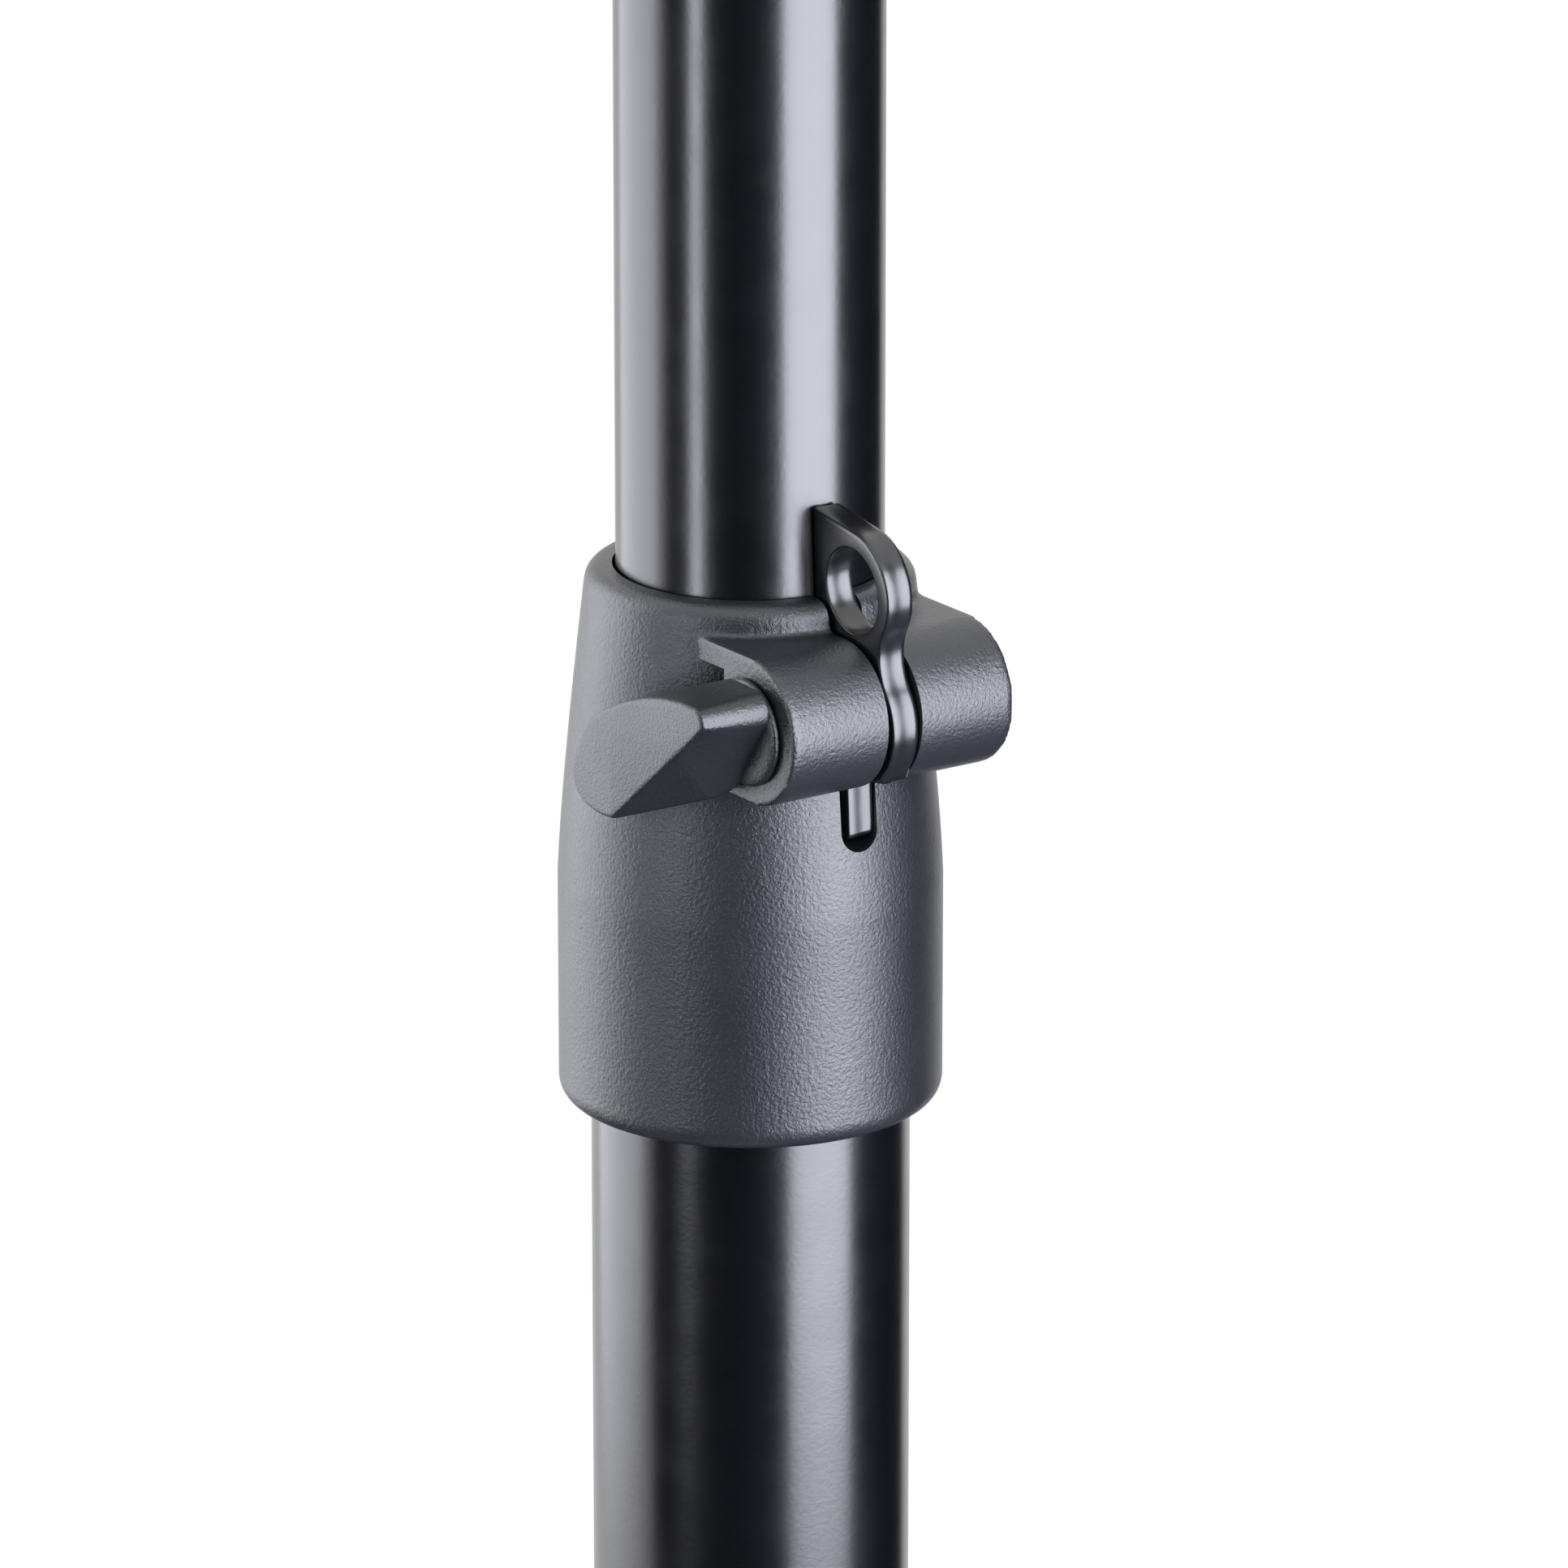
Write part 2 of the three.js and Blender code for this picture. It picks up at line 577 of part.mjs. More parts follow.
// Self-tapping screw with a domed slotted head, through the collar into the lower tube's wall.
function collarScrew(side) {
  const z = collarFootHeight + collarScrewHeight;
  const headOuter = collarRadius - fit;
  const headInner = headOuter - collarScrewHeadHeight;
  const headRadius = collarScrewHeadDiameter / 2;
  const shankRadius = collarScrewDiameter / 2;
  const profile = turned(
    [
      [0, lowerBoreRadius + fit],
      [shankRadius, lowerBoreRadius + fit],
      [shankRadius, headInner],
      [headRadius, headInner],
      [headRadius, headInner + collarScrewHeadHeight / 2],
      [headRadius / 2, headOuter],
      [0, headOuter],
    ],
    smallSteps,
  );
  const slot = block(
    new THREE.Vector3(headOuter - collarScrewDriveDepth, -headRadius - cutOverrun, -collarScrewDriveDepth / 2),
    new THREE.Vector3(headOuter + cutOverrun, headRadius + cutOverrun, collarScrewDriveDepth / 2),
  );
  const crossSlot = block(
    new THREE.Vector3(headOuter - collarScrewDriveDepth, -collarScrewDriveDepth / 2, -collarScrewDriveWidth / 2),
    new THREE.Vector3(headOuter + cutOverrun, collarScrewDriveDepth / 2, collarScrewDriveWidth / 2),
  );
  const degrees = collarScrewTurns[side];
  const bar = solid(atTurn(layAcross(profile).translate(0, 0, z), degrees));
  const cuts = [slot, crossSlot].map((cut) => solid(atTurn(cut.translate(0, 0, z), degrees)));
  return piece("collar_screw_" + side, bar.subtract(cuts[0]).subtract(cuts[1]), zincSteel);
}

const baseRivetTurns = { left: 180, right: 0 };

function lowerTube() {
  let tube = solid(ring(lowerBoreRadius, lowerTubeRadius, lowerTubeFoot, lowerTubeTop));
  for (const degrees of Object.values(collarScrewTurns)) tube = tube.subtract(collarScrewHole(degrees));
  for (const degrees of Object.values(baseRivetTurns)) {
    const hole = barAlongX(baseRivetDiameter / 2 + fit, 0, 2 * lowerTubeRadius, 0, baseRivetHeight, smallSteps);
    tube = tube.subtract(solid(atTurn(hole, degrees)));
  }
  return piece("lower_tube", tube, tubeBlack);
}

// Turned plug in the foot of the lower tube, with the tube's end on its flange and the stud through it.
function basePlug() {
  const insertRadius = lowerBoreRadius - fit;
  let plug = solid(
    turned([
      [studDiameter / 2 + fit, plugFlangeFoot],
      [lowerTubeRadius - plugEdge, plugFlangeFoot],
      [lowerTubeRadius, plugFlangeFoot + plugEdge],
      [lowerTubeRadius, plugFlangeTop],
      [insertRadius, plugFlangeTop],
      [insertRadius, plugTop - plugEdge],
      [insertRadius - plugEdge, plugTop],
      [studDiameter / 2 + fit, plugTop],
      [studDiameter / 2 + fit, plugFlangeFoot],
    ]),
  );
  for (const degrees of Object.values(baseRivetTurns)) {
    const deep = lowerTubeRadius - baseRivetLength - fit;
    const hole = barAlongX(baseRivetDiameter / 2 + fit, deep, 2 * lowerTubeRadius, 0, baseRivetHeight, smallSteps);
    plug = plug.subtract(solid(atTurn(hole, degrees)));
  }
  return piece("base_plug", plug, plugAluminium);
}

// Rivet with a domed head on the lower tube, its shank in the base plug.
function baseRivet(side) {
  const headInner = lowerTubeRadius + fit;
  const headOuter = headInner + baseRivetHeadHeight;
  const headRadius = baseRivetHeadDiameter / 2;
  const shankRadius = baseRivetDiameter / 2;
  const profile = turned(
    [
      [0, lowerTubeRadius - baseRivetLength],
      [shankRadius, lowerTubeRadius - baseRivetLength],
      [shankRadius, headInner],
      [headRadius, headInner],
      [headRadius * Math.cos(Math.PI / 6), headInner + baseRivetHeadHeight * Math.sin(Math.PI / 6)],
      [headRadius * Math.cos(Math.PI / 3), headInner + baseRivetHeadHeight * Math.sin(Math.PI / 3)],
      [0, headOuter],
    ],
    smallSteps,
  );
  const rivet = atTurn(layAcross(profile).translate(0, 0, baseRivetHeight), baseRivetTurns[side]);
  return piece("base_rivet_" + side, solid(rivet), zincSteel);
}

function baseStud() {
  return piece("base_stud", solid(upright(studDiameter / 2, -studDrop, studTop, studPoint)), zincSteel);
}

function studLockNut() {
  const hex = new THREE.CylinderGeometry(
    lockNutAcrossFlats / 2 / Math.cos(Math.PI / 6),
    lockNutAcrossFlats / 2 / Math.cos(Math.PI / 6),
    lockNutThickness,
    6,
  );
  hex.rotateX(Math.PI / 2).translate(0, 0, lockNutFoot + lockNutThickness / 2);
  const bore = upright(studDiameter / 2 + fit, lockNutFoot - cutOverrun, lockNutTop + cutOverrun, 0);
  return piece("stud_lock_nut", solid(hex).subtract(solid(bore)), zincSteel);
}

function seatWasher() {
  const washer = ring(studDiameter / 2 + fit, lowerTubeRadius - plugEdge, 0, seatThickness);
  return piece("seat_washer", solid(washer), washerRubber);
}

const pinTurns = { left: 180, right: 0 };
const stopPinZ = stopRingFoot + stopRingHeight / 2;
const endPinZ = endFlangeTop + endPinHeight;
const stopRingRadius = lowerBoreRadius - stopRingClearance;

// Hole for a pin along X on both sides of the pole axis.
function pinHole(from, z) {
  const radius = pinDiameter / 2 + fit;
  const holes = Object.values(pinTurns).map((degrees) =>
    solid(atTurn(barAlongX(radius, from, 2 * lowerTubeRadius, 0, z, smallSteps), degrees)),
  );
  return holes[0].add(holes[1]);
}

function upperTube() {
  let tube = solid(ring(upperBoreRadius, upperTubeRadius, upperTubeFoot, upperTubeTop));
  for (const z of [stopPinZ, endPinZ]) tube = tube.subtract(pinHole(upperBoreRadius / 2, z));
  return piece("upper_tube", tube, tubeBlack);
}

// Plug with a flange that the tube's end and the guide bush rest on. Air passes through its bore.
function endPlug() {
  const flangeRadius = lowerBoreRadius - endFlangeClearance;
  const insertRadius = upperBoreRadius - fit;
  const boreRadius = insertRadius - endPlugWall;
  const top = endFlangeTop + endInsertLength;
  const plug = solid(
    turned([
      [boreRadius, endFlangeFoot],
      [flangeRadius - plugEdge, endFlangeFoot],
      [flangeRadius, endFlangeFoot + plugEdge],
      [flangeRadius, endFlangeTop],
      [insertRadius, endFlangeTop],
      [insertRadius, top - plugEdge],
      [insertRadius - plugEdge, top],
      [boreRadius, top],
      [boreRadius, endFlangeFoot],
    ]),
  );
  return piece("end_plug", plug.subtract(pinHole(upperTubeRadius - fit - pinLength - fit, endPinZ)), plasticBlack);
}

// Guide bush that slides in the lower tube, with grooves that let air past.
function guideBush() {
  const outer = lowerBoreRadius - fit;
  let bush = solid(
    turned([
      [upperTubeRadius + fit, guideFoot],
      [outer - guideGrooveDepth, guideFoot],
      [outer, guideFoot + guideGrooveDepth],
      [outer, guideTop - guideGrooveDepth],
      [outer - guideGrooveDepth, guideTop],
      [upperTubeRadius + fit, guideTop],
      [upperTubeRadius + fit, guideFoot],
    ]),
  );
  for (let i = 0; i < guideGrooveCount; i++) {
    const groove = block(
      new THREE.Vector3(outer - guideGrooveDepth, -guideGrooveWidth / 2, guideFoot - cutOverrun),
      new THREE.Vector3(outer + cutOverrun, guideGrooveWidth / 2, guideTop + cutOverrun),
    );
    bush = bush.subtract(solid(atTurn(groove, (i * 360) / guideGrooveCount)));
  }
  return piece("guide_bush", bush, linerNylon);
}

function stopRing() {
  const band = solid(ring(upperTubeRadius + fit, stopRingRadius, stopRingFoot, stopRingTop));
  return piece("stop_ring", band.subtract(pinHole(0, stopPinZ)), zincSteel);
}

// A pin along X, just inside the given outer radius.
function radialPin(name, side, outer, z) {
  const bar = barAlongX(pinDiameter / 2, outer - pinLength, outer, 0, z, smallSteps);
  return piece(name + "_" + side, solid(atTurn(bar, pinTurns[side])), zincSteel);
}

// Cap with a rim on the upper tube's end and a hollow insert.
function topCap() {
  const insertRadius = upperBoreRadius - fit;
  const rim = upperTubeTop + fit;
  const top = rim + capThickness;
  const cap = turned([
    [0, rim],
    [insertRadius - capWall, rim],
    [insertRadius - capWall, upperTubeTop - capInsertLength],
    [insertRadius, upperTubeTop - capInsertLength],
    [insertRadius, rim],
    [upperTubeRadius, rim],
    [upperTubeRadius, top - capEdge],
    [upperTubeRadius - capEdge, top],
    [0, top],
  ]);
  return piece("top_cap", solid(cap), plasticBlack);
}

const lowerPole = new THREE.Group();
lowerPole.add(lowerTube(), basePlug(), baseStud(), studLockNut(), seatWasher());
lowerPole.add(clampCollar(), clampLiner(), clampNut(), safetyEyelet());
const knobAssembly = new THREE.Group();
knobAssembly.add(clampKnob(), clampScrew(), clampWasher());
const upperPole = new THREE.Group();
upperPole.add(upperTube(), topCap(), endPlug(), guideBush(), stopRing());
for (const side of ["left", "right"]) {
  lowerPole.add(collarScrew(side), baseRivet(side));
  upperPole.add(radialPin("stop_pin", side, stopRingRadius - fit, stopPinZ));
  upperPole.add(radialPin("end_plug_pin", side, upperTubeRadius - fit, endPinZ));
}

const speakerPole = new THREE.Group();
speakerPole.add(lowerPole, knobAssembly, upperPole);

export default speakerPole;
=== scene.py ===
from math import acos, atan2, ceil, cos, degrees, hypot, pi, radians, sin, sqrt, tan
import bmesh
import bpy
from mathutils import Matrix, Vector, geometry


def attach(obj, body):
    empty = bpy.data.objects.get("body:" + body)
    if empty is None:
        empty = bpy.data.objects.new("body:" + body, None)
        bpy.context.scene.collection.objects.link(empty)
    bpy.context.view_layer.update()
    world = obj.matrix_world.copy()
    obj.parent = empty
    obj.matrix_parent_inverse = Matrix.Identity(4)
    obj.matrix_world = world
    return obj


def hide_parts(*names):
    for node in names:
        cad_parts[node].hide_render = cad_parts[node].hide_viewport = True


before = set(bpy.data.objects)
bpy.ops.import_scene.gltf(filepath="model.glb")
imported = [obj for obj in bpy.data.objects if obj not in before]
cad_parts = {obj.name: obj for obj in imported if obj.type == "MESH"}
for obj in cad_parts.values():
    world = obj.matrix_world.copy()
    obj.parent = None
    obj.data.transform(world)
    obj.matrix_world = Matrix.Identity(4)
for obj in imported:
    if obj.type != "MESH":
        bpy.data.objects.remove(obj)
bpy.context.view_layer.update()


# ---- Camera, floor, background and lamps ----
# The camera looks down at the clamp from in front of the pole's knob side, through a long lens.
# White paper stands behind the pole, and the rest of the room is dark with soft lamp panels in it.
camera_turn = radians(-34.7)
camera_rise = radians(17.7)
camera_reach = 1.411
aim_height = 0.6023
aim_aside = 0.0044
toward_camera = Vector((
    sin(camera_turn) * cos(camera_rise),
    -cos(camera_turn) * cos(camera_rise),
    sin(camera_rise),
))
across_view = Vector((cos(camera_turn), sin(camera_turn), 0))
aim = Vector((0, 0, aim_height)) + across_view * aim_aside

camera = bpy.data.objects.new("camera", bpy.data.cameras.new("camera"))
bpy.context.scene.collection.objects.link(camera)
camera.data.lens = 248
camera.data.sensor_width = 36
camera.data.clip_start = 0.05
camera.data.clip_end = 50
camera.location = aim + toward_camera * camera_reach
camera.rotation_mode = "QUATERNION"
camera.rotation_quaternion = (-toward_camera).to_track_quat("-Z", "Y")
bpy.context.scene.camera = camera
bpy.context.scene.view_settings.view_transform = "Standard"


def colour(code):
    """An sRGB hex colour as the linear colour that a socket takes."""
    shares = [int(code[i:i + 2], 16) / 255 for i in (1, 3, 5)]
    return (*[s / 12.92 if s <= 0.04045 else ((s + 0.055) / 1.055) ** 2.4 for s in shares], 1)


def add(tree, kind, links=None, **settings):
    """Adds a node. A link's value is another node's socket or a plain value."""
    node = tree.nodes.new("ShaderNode" + kind)
    for key, value in settings.items():
        setattr(node, key, value)
    for key, value in (links or {}).items():
        if isinstance(value, bpy.types.NodeSocket):
            tree.links.new(value, node.inputs[key])
        else:
            node.inputs[key].default_value = value
    return node


def looked_at(tree):
    """1 for what is seen directly, in a reflection or through a piece, and 0 for light that falls."""
    ray = add(tree, "LightPath")
    straight = {0: ray.outputs["Is Camera Ray"], 1: ray.outputs["Is Glossy Ray"]}
    seen = add(tree, "Math", straight, operation="ADD")
    through = {0: seen.outputs[0], 1: ray.outputs["Is Transmission Ray"]}
    return add(tree, "Math", through, operation="ADD", use_clamp=True).outputs[0]


world = bpy.data.worlds.new("studio")
bpy.context.scene.world = world
world.use_nodes = True
sky = world.node_tree
sky.nodes.clear()
seen = looked_at(sky)
room_light = add(sky, "Background", {"Color": colour("#e6ebf2"), "Strength": 0.22})
white_paper = add(sky, "Background", {"Color": colour("#ffffff"), "Strength": 1})
either = add(sky, "MixShader", {0: seen, 1: room_light.outputs[0], 2: white_paper.outputs[0]})
add(sky, "OutputWorld", {"Surface": either.outputs[0]})

# The floor keeps the pole's shadow near its foot and runs out into the white of the paper.
floor_radius = 0.6
floor_height = -0.0222
shadow_whole, shadow_gone = 0.06, 0.36
floor_mesh = bmesh.new()
bmesh.ops.create_circle(
    floor_mesh, cap_ends=True, segments=96, radius=floor_radius,
    matrix=Matrix.Translation((0, 0, floor_height)),
)
floor = bpy.data.objects.new("floor", bpy.data.meshes.new("floor"))
floor_mesh.to_mesh(floor.data)
floor_mesh.free()
bpy.context.scene.collection.objects.link(floor)
paper = bpy.data.materials.new("pale matt floor")
paper.use_nodes = True
tree = paper.node_tree
tree.nodes.clear()
place = add(tree, "TexCoord")
out = add(tree, "VectorMath", {0: place.outputs["Object"]}, operation="LENGTH")
run_out = {"Value": out.outputs["Value"], "From Min": shadow_whole, "From Max": shadow_gone}
far = add(tree, "MapRange", run_out, interpolation_type="SMOOTHSTEP")
share = add(tree, "Math", {0: looked_at(tree), 1: far.outputs["Result"]}, operation="MULTIPLY")
grain = add(tree, "TexNoise", {"Vector": place.outputs["Object"], "Scale": 60})
tint = add(tree, "MixRGB", {0: grain.outputs["Fac"], 1: colour("#f1f1f2"), 2: colour("#f6f6f7")})
matt = add(tree, "BsdfDiffuse", {"Color": tint.outputs[0]})
white = add(tree, "Emission", {"Color": colour("#ffffff"), "Strength": 1})
mixed = add(tree, "MixShader", {0: share.outputs[0], 1: matt.outputs[0], 2: white.outputs[0]})
add(tree, "OutputMaterial", {"Surface": mixed.outputs[0]})
floor.data.materials.append(paper)


def stand(turn, reach, height):
    """A place in the room: turn in degrees to the camera's right as seen from the pole, reach from the pole."""
    bearing = camera_turn + radians(turn)
    return Vector((sin(bearing) * reach, -cos(bearing) * reach, height))


panel_reach = 1.1


def soft_panel(name, turn, spread, low, high, level):
    """A standing lamp panel that takes up a spread of degrees and is level times as bright as white paper."""
    lamp = bpy.data.objects.new(name, bpy.data.lights.new(name, "AREA"))
    bpy.context.scene.collection.objects.link(lamp)
    width = 2 * panel_reach * tan(radians(spread / 2))
    lamp.data.shape = "RECTANGLE"
    lamp.data.size = width
    lamp.data.size_y = high - low
    lamp.data.energy = level * pi * width * (high - low)
    lamp.data.color = colour("#eef1fe")[:3]
    lamp.location = stand(turn, panel_reach, (low + high) / 2)
    lamp.rotation_mode = "QUATERNION"
    lamp.rotation_quaternion = (stand(turn, 0, 0) - stand(turn, 1, 0)).to_track_quat("-Z", "Y")
    lamp.visible_camera = False


# The front panel lays the broad sheen on the pole, the strip a narrow one, and the left panel lights its edge.
soft_panel("front_right_panel", turn=51.9, spread=47.6, low=0.07, high=1.45, level=7.3)
soft_panel("left_strip", turn=-45, spread=10, low=0.25, high=1.3, level=5.7)
soft_panel("left_panel", turn=-112, spread=56, low=0.08, high=1.3, level=2.2)

# Black cloth round the camera's side of the room and grey cloth on the floor, which only show in what shines.
# A hem is given as places of (reach, height), and is swept round the pole from where the cloth starts.
cloth_start = -76
cloth_floor = -0.0216
for name, shade, turn, hem in (
    ("black_cloth", "#0a0a0b", 221, ((0.9, cloth_floor), (1.6, cloth_floor), (1.6, 1.9))),
    ("grey_cloth", "#6d6f73", 360, ((0.09, cloth_floor), (0.9, cloth_floor))),
):
    cloth_mesh = bmesh.new()
    ends = [cloth_mesh.verts.new(stand(cloth_start, reach, height)) for reach, height in hem]
    edges = [cloth_mesh.edges.new(pair) for pair in zip(ends, ends[1:])]
    bmesh.ops.spin(
        cloth_mesh, geom=ends + edges, cent=(0, 0, 0), axis=(0, 0, 1), dvec=(0, 0, 0),
        angle=radians(turn), steps=60, use_merge=False,
    )
    cloth = bpy.data.objects.new(name, bpy.data.meshes.new(name))
    cloth_mesh.to_mesh(cloth.data)
    cloth_mesh.free()
    bpy.context.scene.collection.objects.link(cloth)
    matt_cloth = bpy.data.materials.new("matt " + name.replace("_", " "))
    matt_cloth.use_nodes = True
    weave = matt_cloth.node_tree.nodes["Principled BSDF"]
    weave.inputs["Base Color"].default_value = colour(shade)
    weave.inputs["Roughness"].default_value = 1
    weave.inputs["Specular IOR Level"].default_value = 0
    cloth.data.materials.append(matt_cloth)
    cloth.visible_camera = False
    cloth.visible_diffuse = False
    cloth.visible_shadow = False
    cloth.visible_transmission = False


# ---- Lower tube ----
# The outer tube of the pole: cold-drawn steel with 1.5 mm walls, cut square and deburred.
# It is drilled for the base rivets and the collar's screws, and powder coated in satin black.
lower_tube_radius = 21
lower_bore_radius = 19.5
lower_tube_foot, lower_tube_top = 6.6, 594.3
base_rivet_height = 24
base_rivet_hole = 2.3
collar_screw_height = 577
collar_screw_hole = 2.2
collar_screw_turns = {"left": 125, "right": 55}
drill_in, drill_out = 15, 25
burr = 0.25


def turned(profile, steps=192, closed=True):
    """A profile of (radius, height) corners spun round the pole's axis."""
    bm = bmesh.new()
    corners = [bm.verts.new((radius, 0, height)) for radius, height in profile]
    pairs = list(zip(corners, corners[1:] + corners[:1])) if closed else list(zip(corners, corners[1:]))
    edges = [bm.edges.new(pair) for pair in pairs]
    bmesh.ops.spin(
        bm, geom=corners + edges, cent=(0, 0, 0), axis=(0, 0, 1), dvec=(0, 0, 0),
        angle=2 * pi, steps=steps, use_merge=True,
    )
    bmesh.ops.remove_doubles(bm, verts=bm.verts, dist=0.0005)
    bmesh.ops.dissolve_degenerate(bm, dist=0.0001, edges=bm.edges)
    bmesh.ops.recalc_face_normals(bm, faces=bm.faces)
    return bm


def ease_edges(bm, width, segments=3):
    """Rounds the edges at which the surface turns by more than 30 degrees."""
    sharp = [e for e in bm.edges if len(e.link_faces) == 2 and e.calc_face_angle() > radians(30)]
    bmesh.ops.bevel(
        bm, geom=sharp, offset=width, offset_type="OFFSET", segments=segments, profile=0.5,
        affect="EDGES", clamp_overlap=True, material=-1,
    )
    return bm


def tube(outer, bore, low, high):
    """A tube cut square and deburred."""
    return ease_edges(turned([(bore, low), (outer, low), (outer, high), (bore, high)]), burr)


def rings_at(bm, *heights):
    """Adds level rings of edges, so that the faces cut by a drilled hole stay short."""
    for height in heights:
        everything = bm.verts[:] + bm.edges[:] + bm.faces[:]
        bmesh.ops.bisect_plane(
            bm, geom=everything, dist=0.0001, plane_co=(0, 0, height), plane_no=(0, 0, 1),
        )
    return bm


def round_bar(radius, low, high, steps=48):
    """A plain round bar along the pole's axis."""
    return turned([(0, low), (radius, low), (radius, high), (0, high)], steps, closed=False)


along_x = Matrix(((0, 0, 1, 0), (1, 0, 0, 0), (0, 1, 0, 0), (0, 0, 0, 1)))


def laid(bm, y=0, z=0, turn=0):
    """Lays a shape made along the pole's axis along +X, at a Y and Z, then turns it round the pole."""
    way = Matrix.Rotation(radians(turn), 4, "Z") @ Matrix.Translation((0, y, z)) @ along_x
    bmesh.ops.transform(bm, matrix=way, verts=bm.verts)
    return bm


def worked(bm, joins=(), cuts=(), keeps=(), voxel=0):
    """Joins, cuts or trims a shape with others, and may remesh the result in small voxels."""
    made = []

    def held(shape):
        mesh = bpy.data.meshes.new("shape in work")
        shape.to_mesh(mesh)
        shape.free()
        made.append(bpy.data.objects.new("shape in work", mesh))
        bpy.context.scene.collection.objects.link(made[-1])
        return made[-1]

    body = held(bm)
    for operation, tools in (("UNION", joins), ("DIFFERENCE", cuts), ("INTERSECT", keeps)):
        for tool in tools:
            step = body.modifiers.new(operation, "BOOLEAN")
            step.operation, step.solver, step.object = operation, "EXACT", held(tool)
    if voxel:
        step = body.modifiers.new("voxels", "REMESH")
        step.mode, step.voxel_size = "VOXEL", voxel
    bpy.context.view_layer.update()
    result = bmesh.new()
    result.from_mesh(body.evaluated_get(bpy.context.evaluated_depsgraph_get()).to_mesh())
    for each in made:
        mesh = each.data
        bpy.data.objects.remove(each)
        bpy.data.meshes.remove(mesh)
    return result


def fitted(name, bm, material, body, slot, *nodes, crease=35):
    """Turns a shape in millimetres into a finished piece in metres that stands for CAD nodes."""
    bmesh.ops.scale(bm, vec=(0.001,) * 3, verts=bm.verts)
    for face in bm.faces:
        face.smooth = True
    for edge in bm.edges:
        edge.smooth = len(edge.link_faces) != 2 or edge.calc_face_angle(0) < radians(crease)
    piece = bpy.data.objects.new(name, bpy.data.meshes.new(name))
    bm.to_mesh(piece.data)
    bm.free()
    bpy.context.scene.collection.objects.link(piece)
    piece.data.materials.append(material)
    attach(piece, body)
    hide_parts(*nodes)
    return piece


def finish_named(name):
    """A new material with its tree, its surface shader and the object's own coordinates."""
    material = bpy.data.materials.new(name)
    material.use_nodes = True
    tree = material.node_tree
    return material, tree, tree.nodes["Principled BSDF"], add(tree, "TexCoord").outputs["Object"]


# Powder coat on steel: near black with a satin gloss. Its fine orange peel of 0.7 mm breaks the lamps'
# reflections into a grain, and slow waves of 6 mm vary the gloss.
powder_coat, tree, surface, place = finish_named("steel, satin black powder coat")
surface.inputs["IOR"].default_value = 1.6
surface.inputs["Specular IOR Level"].default_value = 0.9
peel = add(tree, "TexNoise", {"Vector": place, "Scale": 1 / 0.0007, "Detail": 3, "Roughness": 0.6})
swell = add(tree, "TexNoise", {"Vector": place, "Scale": 1 / 0.006, "Detail": 2})
tint = add(tree, "MixRGB", {0: peel.outputs["Fac"], 1: colour("#06070a"), 2: colour("#0e0f13")})
tree.links.new(tint.outputs[0], surface.inputs["Base Color"])
satin = {"Value": swell.outputs["Fac"], "From Min": 0.3, "From Max": 0.7, "To Min": 0.22, "To Max": 0.25}
gloss = add(tree, "MapRange", satin)
tree.links.new(gloss.outputs["Result"], surface.inputs["Roughness"])
broad = add(tree, "Bump", {"Height": swell.outputs["Fac"], "Strength": 0.1, "Distance": 0.00002})
dimpled = {"Height": peel.outputs["Fac"], "Normal": broad.outputs[0], "Strength": 0.5, "Distance": 0.00002}
fine = add(tree, "Bump", dimpled)
tree.links.new(fine.outputs[0], surface.inputs["Normal"])

lower = tube(lower_tube_radius, lower_bore_radius, lower_tube_foot, lower_tube_top)
rivet_drill = round_bar(base_rivet_hole, drill_in, drill_out)
screw_drill = round_bar(collar_screw_hole, drill_in, drill_out)
lower = worked(
    rings_at(lower, 20.5, 27.5, 573.5, 580.5),
    cuts=[laid(rivet_drill.copy(), z=base_rivet_height, turn=turn) for turn in (0, 180)]
    + [laid(screw_drill.copy(), z=collar_screw_height, turn=turn) for turn in collar_screw_turns.values()],
)
fitted("lower_tube_coated", lower, powder_coat, "lower_pole", "tube_black", "lower_tube")


# ---- Base plug, stud, lock nut, seat washer and rivets ----
# A turned aluminium plug sits in the tube's foot, and two steel rivets hold it.
# A threaded steel stud runs through it, locked by a thin nut, with a rubber washer under the plug.
stud_radius, stud_pitch, stud_point = 10, 2.5, 1.5
stud_foot, stud_top = -22, 49.3
stud_way = 10.3
plug_foot, plug_flange_top, plug_top = 2.3, 6.3, 40.3
plug_radius = 19.2
plug_hole_end = 12.7

# Turned aluminium: pale metal whose fine rings from the tool draw the highlight out along the pole.
turned_aluminium, tree, surface, place = finish_named("aluminium, turned")
surface.inputs["Metallic"].default_value = 1
surface.inputs["Roughness"].default_value = 0.34
split = add(tree, "SeparateXYZ", {0: place})
level = add(tree, "CombineXYZ", {0: split.outputs[0], 1: split.outputs[1], 2: 0.0})
radius = add(tree, "VectorMath", {0: level.outputs[0]}, operation="LENGTH")
feed = add(tree, "CombineXYZ", {0: radius.outputs["Value"], 1: 0.0, 2: split.outputs[2]})
marks = add(tree, "TexNoise", {"Vector": feed.outputs[0], "Scale": 1 / 0.0005, "Detail": 2})
tint = add(tree, "MixRGB", {0: marks.outputs["Fac"], 1: colour("#a3a6aa"), 2: colour("#b9bbbe")})
tree.links.new(tint.outputs[0], surface.inputs["Base Color"])
groove = add(tree, "Bump", {"Height": marks.outputs["Fac"], "Strength": 0.5, "Distance": 0.00002})
tree.links.new(groove.outputs[0], surface.inputs["Normal"])

